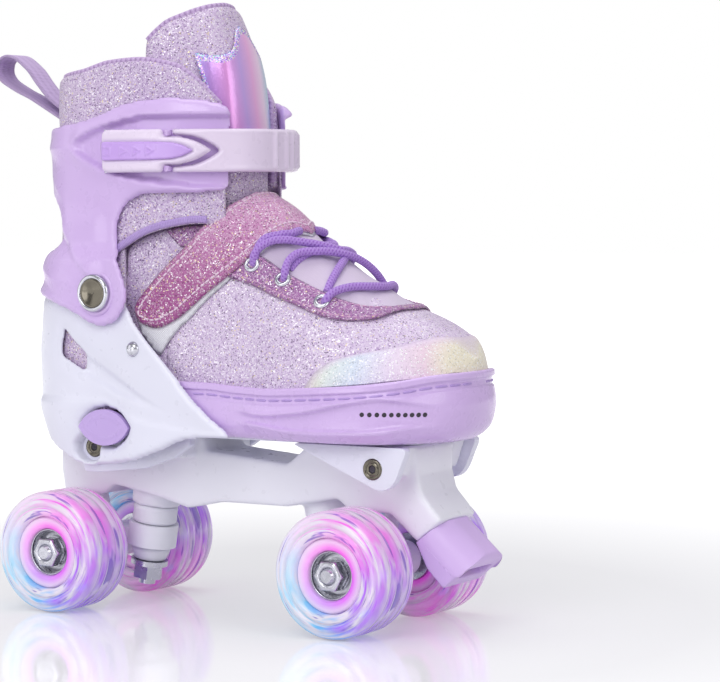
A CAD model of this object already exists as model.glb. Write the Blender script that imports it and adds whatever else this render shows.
"""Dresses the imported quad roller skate: moulded shells, glitter fabric, lit wheels and bright metal."""
import math

import bmesh
import bpy
import numpy as np
from mathutils import Matrix, Vector


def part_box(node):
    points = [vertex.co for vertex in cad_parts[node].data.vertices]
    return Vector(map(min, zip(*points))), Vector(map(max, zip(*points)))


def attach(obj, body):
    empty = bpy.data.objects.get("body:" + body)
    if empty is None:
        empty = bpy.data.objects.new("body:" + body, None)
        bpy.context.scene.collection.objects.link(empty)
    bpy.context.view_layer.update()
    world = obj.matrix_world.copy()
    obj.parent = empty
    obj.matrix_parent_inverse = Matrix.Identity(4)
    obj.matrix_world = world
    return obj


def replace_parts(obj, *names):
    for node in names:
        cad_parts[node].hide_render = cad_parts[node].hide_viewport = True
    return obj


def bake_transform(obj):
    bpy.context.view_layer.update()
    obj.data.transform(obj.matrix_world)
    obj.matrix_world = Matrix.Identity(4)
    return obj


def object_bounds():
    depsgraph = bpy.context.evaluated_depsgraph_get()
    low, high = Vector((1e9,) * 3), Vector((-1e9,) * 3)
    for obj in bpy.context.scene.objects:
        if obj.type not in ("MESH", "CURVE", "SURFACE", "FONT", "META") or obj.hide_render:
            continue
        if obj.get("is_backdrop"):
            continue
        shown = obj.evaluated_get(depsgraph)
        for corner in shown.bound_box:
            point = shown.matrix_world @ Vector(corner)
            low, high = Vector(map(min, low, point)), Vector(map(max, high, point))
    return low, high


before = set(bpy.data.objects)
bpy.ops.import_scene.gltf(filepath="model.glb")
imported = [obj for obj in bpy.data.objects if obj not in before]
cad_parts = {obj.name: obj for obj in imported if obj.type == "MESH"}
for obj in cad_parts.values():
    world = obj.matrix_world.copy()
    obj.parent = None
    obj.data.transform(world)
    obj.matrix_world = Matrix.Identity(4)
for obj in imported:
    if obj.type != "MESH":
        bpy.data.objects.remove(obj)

bl_info = {
    "name": "Quad roller skate",
    "version": (1, 0, 0),
    "blender": (4, 5, 0),
    "location": "View3D > Sidebar > Skate",
    "description": "Builds the finished skate around its packed frame",
    "category": "Object",
}

CAD_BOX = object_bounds()
MM = 0.001
ENDS = (("rear", -1), ("front", 1))
SIDES = (("outer", -1), ("inner", 1))


def low(node):
    """Lowest corner of a node at rest, in millimetres."""
    return np.array(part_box(node)[0]) / MM


def high(node):
    """Highest corner of a node at rest, in millimetres."""
    return np.array(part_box(node)[1]) / MM


# Heights and places that the frame gives, in millimetres
FOOT_Z = 7.0
SOLE = low("insole")[2] - FOOT_Z - 0.5
WHEEL_R = (high("tyre_front_outer")[2] - low("tyre_front_outer")[2]) / 2
WHEEL_W = high("tyre_front_inner")[1] - low("tyre_front_inner")[1]
AXLE_X = (high("tyre_front_outer")[0] + low("tyre_front_outer")[0]) / 2


def linear(code):
    """Colour in linear light from a six digit code."""
    parts = [int(code[i:i + 2], 16) / 255 for i in (1, 3, 5)]
    return tuple(p / 12.92 if p <= 0.04045 else ((p + 0.055) / 1.055) ** 2.4 for p in parts)


def colour(label, code, words):
    return bpy.props.FloatVectorProperty(name=label, description=words, subtype="COLOR", size=3, min=0.0,
        max=1.0, default=linear(code))


def length(label, size, words):
    return bpy.props.FloatProperty(name=label, description=words, default=size * MM, min=0.0, unit="LENGTH",
        subtype="DISTANCE", precision=5)


def angle(label, degrees, words):
    return bpy.props.FloatProperty(name=label, description=words, default=math.radians(degrees),
        subtype="ANGLE")


class SkateColours(bpy.types.PropertyGroup):
    """Colours of the finishes."""

    lilac: colour("Lilac", "#d7baee", "Cuff, toe cup and size button")
    pale: colour("Pale lilac", "#ecddf4", "Ankle strap and lever")
    violet: colour("Violet", "#b995e4", "Piping and the cup's moulded stitches")
    white: colour("White", "#e9e9f8", "Heel shell, chassis and trucks")
    fabric: colour("Fabric", "#d4c0de", "Glitter fabric of the boot")
    fabric_deep: colour("Deep fabric", "#a78abb", "Shaded threads of the glitter fabric")
    pink: colour("Pink", "#dfa3d2", "Eyestays and the strap's upper stretch")
    magenta: colour("Magenta", "#a2508f", "Instep strap")
    stay: colour("Stay", "#ac76ad", "Eyestays")
    stay_deep: colour("Deep stay", "#8a5c93", "Shaded flakes of the eyestays")
    throat: colour("Throat", "#e0cfea", "Gusset under the laces")
    vamp: colour("Vamp", "#dccae5", "Glitter fabric of the forefoot")
    vamp_deep: colour("Deep vamp", "#b99fca", "Shaded flakes of the forefoot")
    insert: colour("Insert", "#cda8f0", "Lever insert")
    button: colour("Button", "#c7ace7", "Size button")
    seam: colour("Seam", "#f0d2e9", "Border stitched on the instep strap")
    bright: colour("Bright white", "#f3f3fb", "Chassis and trucks")
    piping: colour("Piping", "#c3a0d8", "Knitted piping")
    lace: colour("Lace", "#a468da", "Laces")
    webbing: colour("Webbing", "#cfaee8", "Pull loop")
    steel: colour("Steel", "#c9c9d2", "Nuts, axles and bearings")
    gold: colour("Warm steel", "#b9ad94", "Bolts")
    gunmetal: colour("Gunmetal", "#6f6a60", "Dished rivet centres and the ratchet")
    glow_pink: colour("Pink glow", "#f046e2", "Lit wheel, upper part")
    glow_violet: colour("Violet glow", "#9648f2", "Lit wheel, leading part")
    glow_cyan: colour("Cyan glow", "#2fc4ee", "Lit wheel, lower part")


class SkateSizes(bpy.types.PropertyGroup):
    """Sizes of the details that the finish adds."""

    shell_cell: length("Shell mesh", 1.5, "Spacing of the points on the moulded shells")
    glitter: length("Glitter grain", 0.5, "Size of a glitter flake")
    piping_r: length("Piping radius", 1.35, "Radius of the knitted piping")
    thread_r: length("Thread radius", 0.32, "Radius of the sewing thread")
    stitch: length("Stitch", 2.6, "Length of a stitch")
    lip: length("Cuff lip", 2.8, "Height of the lip round the strap's channel")
    ridge: length("Cup ridge", 2.7, "Height of the ridges on the toe cup")
    lens: bpy.props.FloatProperty(name="Lens", description="Focal length of the camera in millimetres",
        default=129.887, min=10.0)
    azimuth: angle("Azimuth", 31.12, "Turn of the camera round the skate")
    elevation: angle("Elevation", 3.37, "Height angle of the camera")
    roll: angle("Roll", -0.34, "Roll of the camera")
    distance: length("Distance", 1197.86, "Distance from the camera to its target")


def tone_of(key):
    """One of the scene's colours."""
    return tuple(getattr(bpy.context.scene.skate_colours, key))


def mm(name):
    """One of the scene's sizes, in millimetres."""
    return getattr(bpy.context.scene.skate_sizes, name) / MM


# Smooth curves through short tables

def curve(table):
    """Smooth function through the rows of a table, with no overshoot between them."""
    x, y = np.array(table, float).T
    step = np.diff(x)
    slope = np.diff(y) / step
    tangent = np.concatenate([slope[:1], np.zeros(len(x) - 2), slope[-1:]])
    same = slope[:-1] * slope[1:] > 0
    mean = 2 * slope[:-1] * slope[1:] / np.where(same, slope[:-1] + slope[1:], 1)
    tangent[1:-1] = np.where(same, mean, 0)

    def at(q):
        q = np.clip(np.asarray(q, float), x[0], x[-1])
        i = np.clip(np.searchsorted(x, q, side="right") - 1, 0, len(step) - 1)
        t = (q - x[i]) / step[i]
        rest = 1 - t
        return (rest * rest * (1 + 2 * t) * y[i] + t * t * (3 - 2 * t) * y[i + 1] + step[i]
            * (t * rest * rest * tangent[i] - t * t * rest * tangent[i + 1]))
    return at


def together(*values):
    """Numbers and arrays brought to one shape."""
    return np.broadcast_arrays(*(np.asarray(v, float) for v in values))


def smooth(t):
    t = np.clip(t, 0.0, 1.0)
    return t * t * (3 - 2 * t)


def mix(a, b, t):
    return a + (b - a) * t


def power(v, p):
    return np.sign(v) * np.abs(v) ** p


# Form of the soft boot, in millimetres over the deck

ANKLE_MID = -60.0
BACK = curve([(-20, -95.5), (-6, -99), (10, -104), (30, -104.3), (45, -102.6), (60, -100), (66, -96.5),
    (76, -92.5), (91, -91), (125, -90.6), (135, -91.3), (150, -92.7), (172, -92.5)])
HALF = curve([(-20, 30), (-6, 31), (10, 35.5), (32, 38), (60, 39.5), (75, 40), (135, 40.5), (150, 40),
    (172, 38), (200, 33)])
FRONT = curve([(91, 16), (135, 16), (160, 14), (175, 10.5), (200, 0)])
BACK_N, FRONT_N = 2.2, 2.6
BALL_X, VAMP_TIP, TOE_N = 62.0, 127.0, 2.35
FOOT_HALF = curve([(-40, 38), (-20, 37.5), (15, 38), (26, 38.6), (44, 42.2), (62, 44)])
RIDGE = curve([(-40, 150), (-20, 135), (0, 117), (12, 108), (27, 100), (42, 87), (60, 75), (80, 63),
    (93, 57), (103, 53.5), (114, 48.5), (121, 44), (127.5, 34)])
FULL = curve([(-40, 2.8), (0, 2.3), (40, 2.0), (90, 2.3), (128, 2.7)])


def ankle(a, z, d):
    """Point of the ankle's section: angle from the back in degrees, height, offset out of the boot."""
    a, z, d = together(a, z, d)
    c, s = np.cos(np.radians(a)), np.sin(np.radians(a))
    reach = d + np.where(c > 0, ANKLE_MID - BACK(z), FRONT(z) - ANKLE_MID)
    n = np.where(c > 0, 2 / BACK_N, 2 / FRONT_N)
    return np.stack([ANKLE_MID - reach * power(c, n), (HALF(z) + d) * power(s, n), z + SOLE], -1)


def ankle_angle(x, z, d=0.0):
    """Angle from the back at which the section reaches a place along the skate."""
    x, z = np.asarray(x, float), np.asarray(z, float)
    behind = np.clip((ANKLE_MID - x) / (d + ANKLE_MID - BACK(z)), 0, 1)
    ahead = np.clip((x - ANKLE_MID) / (d + FRONT(z) - ANKLE_MID), 0, 1)
    return np.where(x < ANKLE_MID, np.degrees(np.arccos(behind ** (BACK_N / 2))),
        180 - np.degrees(np.arccos(ahead ** (FRONT_N / 2))))


def foot(p, x, d):
    """Point of the foot's section: angle from the outer side over the ridge, place along, offset."""
    p, x, d = together(p, x, d)
    c, s = np.cos(np.radians(p)), np.sin(np.radians(p))
    share = np.clip((x - BALL_X) / (VAMP_TIP - BALL_X + d), 0, 1)
    toe = (1 - share ** TOE_N) ** (1 / TOE_N)
    n = 2 / FULL(x)
    return np.stack([x, -(FOOT_HALF(x) + d) * toe * power(c, n), SOLE + FOOT_Z + (RIDGE(x) + d - FOOT_Z)
        * np.abs(s) ** n], -1)


def fold(p):
    return np.minimum(p, 180 - p)


def toe_place(turn, d=0.0):
    """Place along the foot by a turn from the ball, at 0, to the tip of the toe, at 90 degrees."""
    return BALL_X + (VAMP_TIP - BALL_X + d) * np.sin(np.radians(turn)) ** (2 / TOE_N)


def toe_turn(x):
    return np.degrees(np.arcsin(np.clip((x - BALL_X) / (VAMP_TIP - BALL_X), 0, 1) ** (TOE_N / 2)))


def run_along(points):
    """Length along a path at each of its points."""
    return np.concatenate([[0], np.cumsum(np.linalg.norm(np.diff(points, axis=0), axis=1))])


class Wrap:
    """Flat layout of a curved section: length round it instead of angle."""

    def __init__(self, section, first=-180, last=180):
        self.angle = np.linspace(first, last, 3601)
        run = run_along(section(self.angle))
        self.length = run - run[len(run) // 2]

    def unroll(self, angle):
        return np.interp(angle, self.angle, self.length)

    def roll(self, run):
        return np.interp(run, self.length, self.angle)


# Outlines on a flat layout

def rounded(points, radius, n=6):
    """Closed outline with its corners turned into arcs."""
    points = np.array(points, float)
    points = points[np.linalg.norm(points - np.roll(points, 1, axis=0), axis=1) > 1e-6]
    out = []
    for i, p in enumerate(points):
        before, after = points[i - 1] - p, points[(i + 1) % len(points)] - p
        a, b = np.linalg.norm(before), np.linalg.norm(after)
        r = min(radius, a / 2.05, b / 2.05)
        start, end = p + before / a * r, p + after / b * r
        for t in np.linspace(0, 1, n):
            out.append((1 - t) ** 2 * start + 2 * t * (1 - t) * p + t * t * end)
    return np.array(out)


def resampled(loop, step):
    out = []
    for p, q in zip(loop, np.roll(loop, -1, axis=0)):
        n = max(1, int(np.linalg.norm(q - p) / step))
        out += [mix(p, q, k / n) for k in range(n)]
    return np.array(out)


def full_turn(n):
    """Angles of n places round a circle."""
    return np.linspace(0, 2 * math.pi, n, endpoint=False)


def circle(x, y, r, n=40):
    t = full_turn(n)
    return np.stack([x + r * np.cos(t), y + r * np.sin(t)], 1)


def to_edge(points, loops):
    """Distance of each point to the nearest outline, the nearest place on it, and whether it is inside."""
    a = np.concatenate(loops)
    b = np.concatenate([np.roll(l, -1, axis=0) for l in loops])
    ab = b - a
    size = np.maximum((ab ** 2).sum(1), 1e-12)
    dist, near, within = np.empty(len(points)), np.empty((len(points), 2)), np.empty(len(points), bool)
    for first in range(0, len(points), 1500):
        part = points[first:first + 1500]
        gap = part[:, None] - a
        t = np.clip((gap * ab).sum(2) / size, 0, 1)
        q = a + t[..., None] * ab
        d = np.linalg.norm(part[:, None] - q, axis=2)
        k = d.argmin(1)
        rows = np.arange(len(part))
        span = slice(first, first + len(part))
        dist[span], near[span] = d[rows, k], q[rows, k]
        above = (a[:, 1] > part[:, None, 1]) != (b[:, 1] > part[:, None, 1])
        rise = np.where(np.abs(ab[:, 1]) < 1e-12, 1e-12, ab[:, 1])
        cross = a[:, 0] + (part[:, None, 1] - a[:, 1]) / rise * ab[:, 0]
        within[span] = (above & (part[:, None, 0] < cross)).sum(1) % 2 == 1
    return dist, near, within


def line_gap(u, v, line):
    """Distance from points on a flat layout to an open line of points."""
    line = np.array(line, float)
    best = np.full(np.shape(u), 1e9)
    for p, q in zip(line[:-1], line[1:]):
        d = q - p
        t = np.clip(((u - p[0]) * d[0] + (v - p[1]) * d[1]) / (d @ d), 0, 1)
        best = np.minimum(best, np.hypot(u - p[0] - t * d[0], v - p[1] - t * d[1]))
    return best


# Meshes

def moulding(surface, loops, cell, wall, rim, relief=None, base=0.0):
    """Sheet on a surface cut to outlines, with round rims: points, faces and distance to the rim."""
    loops = [resampled(np.array(l, float), cell * 0.5) for l in loops]
    start, end = loops[0].min(0) - cell * 0.5, loops[0].max(0) + cell * 0.5
    nu, nv = [int(math.ceil(s / cell)) + 1 for s in end - start]
    grid = np.stack(np.meshgrid(np.linspace(start[0], end[0], nu), np.linspace(start[1], end[1], nv),
        indexing="ij"), -1)
    dist, near, within = to_edge(grid.reshape(-1, 2), loops)
    depth = np.where(within, dist, -dist).reshape(nu, nv)
    core = depth > 0.4 * cell
    grown = np.zeros((nu + 2, nv + 2), bool)
    for i in (0, 1, 2):
        for j in (0, 1, 2):
            grown[i:i + nu, j:j + nv] |= core
    edge = grown[1:-1, 1:-1] & ~core
    grid[edge] = near.reshape(nu, nv, 2)[edge]
    depth[edge] = 0
    keep = core | edge
    u, v, deep = grid[keep][:, 0], grid[keep][:, 1], depth[keep]
    round_off = np.sqrt(1 - (1 - np.clip(deep / rim, 0, 1)) ** 2)
    lift = relief(u, v, deep) * round_off if relief else 0
    outer = surface(u, v, base + wall * (0.5 + 0.5 * round_off) + lift)
    inside = deep > 0
    inner = surface(u, v, base + wall * (0.5 - 0.5 * round_off))[inside]
    top = -np.ones((nu, nv), int)
    top[keep] = np.arange(len(u))
    under = top.copy()
    under[core] = len(u) + np.arange(inside.sum())
    faces = []
    for i, j in np.argwhere(core[:-1, :-1] | core[1:, :-1] | core[:-1, 1:] | core[1:, 1:]):
        corners = ((i, j), (i + 1, j), (i + 1, j + 1), (i, j + 1))
        faces.append([top[c] for c in corners])
        faces.append([under[c] for c in reversed(corners)])
    return np.concatenate([outer, inner]), faces, np.concatenate([deep, deep[inside]])


def grid_faces(m, n, wrap_m=False, wrap_n=False, first=0):
    return [[first + i % m * n + j % n, first + (i + 1) % m * n + j % n, first + (i + 1) % m * n
        + (j + 1) % n, first + i % m * n + (j + 1) % n] for i in range(m if wrap_m else m - 1)
        for j in range(n if wrap_n else n - 1)]


def two_faces(outer, inner, borders):
    """Sheet from grids of points on its two faces, closed along lines of point numbers."""
    m, n = outer.shape[:2]
    faces = grid_faces(m, n) + [f[::-1] for f in grid_faces(m, n, first=m * n)]
    for line in borders:
        faces += [[a, b, m * n + b, m * n + a] for a, b in zip(line, line[1:])]
    return np.concatenate([outer.reshape(-1, 3), inner.reshape(-1, 3)]), faces


def loops_mesh(rings, caps=True):
    """Closed tube through rings of points, with a cap at each end."""
    rings = np.asarray(rings, float)
    m, n = rings.shape[:2]
    faces = grid_faces(m, n, wrap_n=True)
    if caps:
        faces += [list(range(n)), [(m - 1) * n + k for k in reversed(range(n))]]
    return rings.reshape(-1, 3), faces


def frames(points, closed=False):
    """Two directions across a path at each of its points, with little twist."""
    points = np.asarray(points, float)
    ahead = np.roll(points, -1, 0) - np.roll(points, 1, 0)
    if not closed:
        ahead[0], ahead[-1] = points[1] - points[0], points[-1] - points[-2]
    ahead /= np.linalg.norm(ahead, axis=1)[:, None]
    side = np.cross(ahead[0], (0, 0, 1) if abs(ahead[0][2]) < 0.9 else (1, 0, 0))
    first = []
    for t in ahead:
        side = side - t * (side @ t)
        side /= np.linalg.norm(side)
        first.append(side)
    first = np.array(first)
    return first, np.cross(ahead, first)


def tube_rings(points, radius, sides=10):
    one, two = frames(points)
    radius = np.broadcast_to(radius, len(points))
    turn = full_turn(sides)
    return (np.asarray(points)[:, None] + radius[:, None, None] * (np.cos(turn)[None, :, None]
        * one[:, None] + np.sin(turn)[None, :, None] * two[:, None]))


def spline(points, n):
    """Smooth path through points, with n places on it."""
    points = np.asarray(points, float)
    along = run_along(points)
    places = np.linspace(0, along[-1], n)
    return np.stack([curve(np.stack([along, points[:, k]], 1))(places) for k in range(points.shape[1])], 1)


def piece(name, verts, faces, finish, body, slot, replaces=(), rim=None, subdivide=0):
    """New piece of the skate on a body, with its finish and the nodes that it stands for."""
    mesh = bpy.data.meshes.new(name)
    mesh.from_pydata((np.asarray(verts, float) * MM).tolist(), [], [list(map(int, f)) for f in faces])
    shell = bmesh.new()
    shell.from_mesh(mesh)
    bmesh.ops.recalc_face_normals(shell, faces=shell.faces)
    shell.to_mesh(mesh)
    shell.free()
    mesh.shade_smooth()
    mesh.materials.append(finish)
    if rim is not None:
        mesh.attributes.new("rim", "FLOAT", "POINT").data.foreach_set("value", np.asarray(rim, np.float32))
    obj = bpy.data.objects.new(name, mesh)
    bpy.context.scene.collection.objects.link(obj)
    if subdivide:
        rounding = obj.modifiers.new("Rounding", "SUBSURF")
        rounding.levels = rounding.render_levels = subdivide
    if body:
        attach(obj, body)
    if replaces:
        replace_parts(obj, *replaces)
    return obj


def sheet(name, made, finish, body, slot, replaces=(), subdivide=0):
    """Piece from a moulding, which brings its distance to the rim."""
    verts, faces, rim = made
    return piece(name, verts, faces, finish, body, slot, replaces, rim, subdivide)


def mapped(obj, m, n, along):
    """Texture layout of a tube or a turned piece: place along it, and share of the way round."""
    layer = obj.data.uv_layers.new(name="UVMap")
    for poly in obj.data.polygons:
        ids = [obj.data.loops[k].vertex_index for k in poly.loop_indices]
        round_share = [i % n for i in ids]
        if max(round_share) - min(round_share) > n / 2:
            round_share = [r + n if r == 0 else r for r in round_share]
        for k, i, r in zip(poly.loop_indices, ids, round_share):
            layer.data[k].uv = (along[min(i // n, m - 1)], r / n)
    return obj


def tube_piece(name, points, radius, finish, body, slot, replaces=(), sides=10):
    rings = tube_rings(points, radius, sides)
    obj = piece(name, *loops_mesh(rings), finish, body, slot, replaces)
    return mapped(obj, len(points), sides, run_along(points))


def stitches(name, lines, finish, body, slot, size=None, gap=1.1, radius=None):
    """Row of sewn stitches along each line, as small raised dashes."""
    size, radius = size or mm("stitch"), radius or mm("thread_r")
    shares, swell = np.array([0, 0.12, 0.5, 0.88, 1]), np.array([0.35, 0.9, 1, 0.9, 0.35])
    verts, faces = [], []
    for line in lines:
        along = run_along(line)
        for begin in np.arange(0, along[-1] - size, size + gap):
            at = begin + shares * size
            points = np.stack([np.interp(at, along, line[:, k]) for k in range(3)], 1)
            ring_verts, ring_faces = loops_mesh(tube_rings(points, swell * radius, 6))
            faces += [[len(verts) + i for i in f] for f in ring_faces]
            verts += list(ring_verts)
    return piece(name, verts, faces, finish, body, slot)


def merged(parts):
    """One mesh from several lists of points and faces."""
    verts, faces = [], []
    for v, f in parts:
        faces += [[len(verts) + i for i in face] for face in f]
        verts += list(v)
    return np.array(verts), faces


def prism(outline, low_end, high_end, bevel=0.8, axis="y"):
    """Bevelled plate from a flat outline: across the skate for side views, or upright for plans."""
    solid = bmesh.new()
    place = (lambda p, h: (p[0], h, p[1])) if axis == "y" else (lambda p, h: (p[0], p[1], h))
    base = solid.faces.new([solid.verts.new(place(p, low_end)) for p in outline])
    top = bmesh.ops.extrude_face_region(solid, geom=[base])["geom"]
    move = Vector(place((0, 0), high_end)) - Vector(place((0, 0), low_end))
    bmesh.ops.translate(solid, vec=move, verts=[g for g in top if isinstance(g, bmesh.types.BMVert)])
    sharp = [e for e in solid.edges if e.calc_length() > bevel * 0.6 and (len(e.link_faces) == 2
        and e.calc_face_angle(0) > 0.6)]
    bmesh.ops.bevel(solid, geom=sharp, offset=bevel, segments=3, profile=0.5, affect="EDGES",
        clamp_overlap=True)
    bmesh.ops.triangulate(solid, faces=[f for f in solid.faces if len(f.verts) > 4])
    verts = [tuple(v.co) for v in solid.verts]
    solid.verts.index_update()
    faces = [[v.index for v in f.verts] for f in solid.faces]
    solid.free()
    return verts, faces


def around(turn, one, two):
    """Directions at the given turns from one direction towards another."""
    return np.cos(turn)[:, None] * one + np.sin(turn)[:, None] * two


def spokes(out, turn):
    """Axis as a unit direction, and the directions round it at the given turns."""
    out = np.array(out, float) / np.linalg.norm(out)
    one = np.cross(out, (1, 0, 0) if abs(out[0]) < 0.9 else (0, 0, 1))
    one /= np.linalg.norm(one)
    two = np.cross(out, one)
    return out, around(turn, one, two)


def lathe(name, profile, centre, out, finish, body, slot, replaces=(), n=96):
    """Turned piece: radius and height pairs, about an axis through the centre."""
    out, spoke = spokes(out, full_turn(n))
    rings = np.array([np.array(centre) + r * spoke + h * out for r, h in profile])
    obj = piece(name, rings.reshape(-1, 3), grid_faces(len(profile), n, wrap_m=True, wrap_n=True), finish,
        body, slot, replaces)
    return mapped(obj, len(profile), n, np.linspace(0, 1, len(profile)))


def rounded_copy(name, nodes, finish, body, slot, voxel=0.9, passes=8, shape=None):
    """Moulded version of a frame node: the same solid with its edges rounded."""
    verts, faces = merged([([tuple(np.array(v.co) / MM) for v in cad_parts[n].data.vertices],
        [list(p.vertices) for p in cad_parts[n].data.polygons]) for n in nodes])
    obj = piece(name, verts, faces, finish, None, slot)
    remesh = obj.modifiers.new("Remesh", "REMESH")
    remesh.mode = "VOXEL"
    remesh.voxel_size = voxel * MM
    soften = obj.modifiers.new("Soften", "SMOOTH")
    soften.factor = 0.5
    soften.iterations = passes
    baked = bpy.data.meshes.new_from_object(obj.evaluated_get(bpy.context.evaluated_depsgraph_get()))
    obj.modifiers.clear()
    obj.data = baked
    baked.name = name
    if shape:
        at = np.array([v.co for v in baked.vertices]) / MM
        baked.vertices.foreach_set("co", (shape(at) * MM).ravel())
    baked.shade_smooth()
    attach(obj, body)
    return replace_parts(obj, *nodes)


# Finishes

class Finish:
    """Material in the making: its nodes, its shader and short ways to join them."""

    def __init__(self, name, **inputs):
        self.material = bpy.data.materials.new(name)
        self.material.use_nodes = True
        self.tree = self.material.node_tree
        self.shader = self.tree.nodes["Principled BSDF"]
        self.output = self.tree.nodes["Material Output"]
        self.coord = self.add("ShaderNodeTexCoord")
        self.place = self.coord.outputs["Object"]
        self.set(**inputs)

    def join(self, socket, value):
        if isinstance(value, bpy.types.NodeSocket):
            self.tree.links.new(value, socket)
        elif socket.type == "RGBA":
            socket.default_value = (*value[:3], 1.0)
        else:
            socket.default_value = value

    def set(self, **inputs):
        for key, value in inputs.items():
            self.join(self.shader.inputs[key.replace("_", " ")], value)
        return self

    def add(self, kind, inputs=(), **settings):
        node = self.tree.nodes.new(kind)
        for key, value in settings.items():
            setattr(node, key, value)
        for key, value in dict(inputs).items():
            self.join(node.inputs[key], value)
        return node

    def calc(self, operation, *values):
        return self.add("ShaderNodeMath", dict(enumerate(values)), operation=operation).outputs[0]

    def vector(self, operation, *values):
        return self.add("ShaderNodeVectorMath", dict(enumerate(values)), operation=operation).outputs[0]

    def scaled(self, vector, size):
        return self.add("ShaderNodeVectorMath", {0: vector, "Scale": size}, operation="SCALE").outputs[0]

    def noise(self, scale, detail=2.0, place=None, output="Fac"):
        return self.add("ShaderNodeTexNoise", {"Vector": place or self.place, "Scale": scale,
            "Detail": detail}).outputs[output]

    def cells(self, scale, place=None):
        return self.add("ShaderNodeTexVoronoi", {"Vector": place or self.place, "Scale": scale})

    def mix(self, share, a, b, blend="MIX"):
        node = self.add("ShaderNodeMix", {0: share, 6: a, 7: b}, data_type="RGBA", blend_type=blend)
        return node.outputs[2]

    def ramp(self, share, stops, interpolation="LINEAR"):
        node = self.add("ShaderNodeValToRGB", {0: share})
        node.color_ramp.interpolation = interpolation
        row = node.color_ramp.elements
        while len(row) < len(stops):
            row.new(0.5)
        for element, (at, tint) in zip(row, stops):
            element.position = at
            element.color = (*tint[:3], 1.0) if hasattr(tint, "__len__") else (tint, tint, tint, 1.0)
        return node.outputs[0]

    def span(self, value, start, end, low_out=0.0, high_out=1.0):
        return self.add("ShaderNodeMapRange", {0: value, 1: start, 2: end, 3: low_out,
            4: high_out}).outputs[0]

    def bump(self, height, strength, depth):
        return self.add("ShaderNodeBump", {"Height": height, "Strength": strength,
            "Distance": depth * MM}).outputs[0]

    def apart(self, vector):
        return self.add("ShaderNodeSeparateXYZ", {0: vector}).outputs

    def sparkle(self, flakes, share):
        """Tilts each flake's face by a share."""
        tilt = self.scaled(self.vector("SUBTRACT", flakes.outputs["Color"], (0.5, 0.5, 0.5)), share)
        facing = self.add("ShaderNodeNewGeometry").outputs["Normal"]
        self.set(Normal=self.vector("NORMALIZE", self.vector("ADD", facing, tilt)))

    def rim(self):
        return self.add("ShaderNodeAttribute", attribute_name="rim").outputs["Fac"]


FINISHES = {}


def finish(make):
    """Keeps each finish that is made, so that like pieces share it."""
    def once(*values):
        key = (make.__name__, values)
        if key not in FINISHES:
            FINISHES[key] = make(*values)
        return FINISHES[key]
    return once


def shade(tint, share):
    return tuple(min(1.0, max(0.0, t * share)) for t in tint)


def pale(tint, share):
    return tuple(t + (1 - t) * share for t in tint)


@finish
def plastic(key, rough=0.32, coat=0.2):
    """Moulded plastic with a faint orange-peel skin and slow drifts of tone."""
    tint = tone_of(key)
    f = Finish("moulded_" + key, Coat_Weight=coat, Coat_Roughness=0.15)
    drift = f.noise(24, 3.0)
    f.set(Base_Color=f.mix(f.span(drift, 0.3, 0.7), shade(tint, 0.98), shade(tint, 1.02)))
    f.set(Roughness=f.span(f.noise(190, 2.0), 0.3, 0.7, rough - 0.06, rough + 0.08))
    f.set(Normal=f.bump(f.noise(1100, 1.0), 0.05, 0.06))
    return f.material


@finish
def glitter(name, main_key, deep_key, gold=0.03, fade_key=""):
    """Glitter fabric: flakes with tilted faces, some white, some dark, a few gold, over a woven base."""
    main, deep = tone_of(main_key), tone_of(deep_key)
    f = Finish("glitter_" + name, Sheen_Weight=0.15, Sheen_Roughness=0.4)
    flakes = f.cells(1 / bpy.context.scene.skate_sizes.glitter)
    chance = f.apart(flakes.outputs["Color"])

    def flake_tones(main, deep):
        half_way = mix(np.array(deep), np.array(main), 0.7)
        return f.ramp(chance[0], [(0.0, shade(deep, 0.35)), (0.045, deep), (0.15, half_way), (0.33, main),
            (0.70, pale(main, 0.22)), (0.85, pale(main, 0.45)), (0.94, (1.0, 0.98, 1.0)),
            (1.0 - gold * 0.6, linear("#ead9a4"))], "CONSTANT")

    tone = flake_tones(main, deep)
    if fade_key:
        height = f.apart(f.place)[2]
        upper = tone_of(fade_key)
        light = flake_tones(pale(upper, 0.12), mix(np.array(main), np.array(upper), 0.6))
        tone = f.mix(f.span(height, (SOLE + 62) * MM, (SOLE + 112) * MM, 0.0, 0.85), tone, light)
    drift = f.span(f.noise(38, 3.0), 0.3, 0.7, 0.0, 1.0)
    f.set(Base_Color=f.mix(f.calc("MULTIPLY", drift, 0.22), tone, deep))
    f.set(Roughness=f.span(chance[1], 0.0, 1.0, 0.22, 0.62))
    f.set(Metallic=f.span(chance[0], 0.86, 0.95, 0.0, 0.35))
    f.sparkle(flakes, 0.5)
    return f.material


def boot_cloth():
    return glitter("boot", "fabric", "fabric_deep")


@finish
def metal(name, key, rough=0.26):
    """Plated metal with fine tumbling marks."""
    tint = tone_of(key)
    f = Finish("metal_" + name, Metallic=1.0)
    f.set(Base_Color=f.mix(f.noise(90, 4.0), shade(tint, 0.78), shade(tint, 1.1)))
    f.set(Roughness=f.span(f.noise(420, 3.0), 0.3, 0.7, rough - 0.08, rough + 0.12))
    f.set(Normal=f.bump(f.noise(2100, 3.0), 0.12, 0.08))
    return f.material


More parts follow.
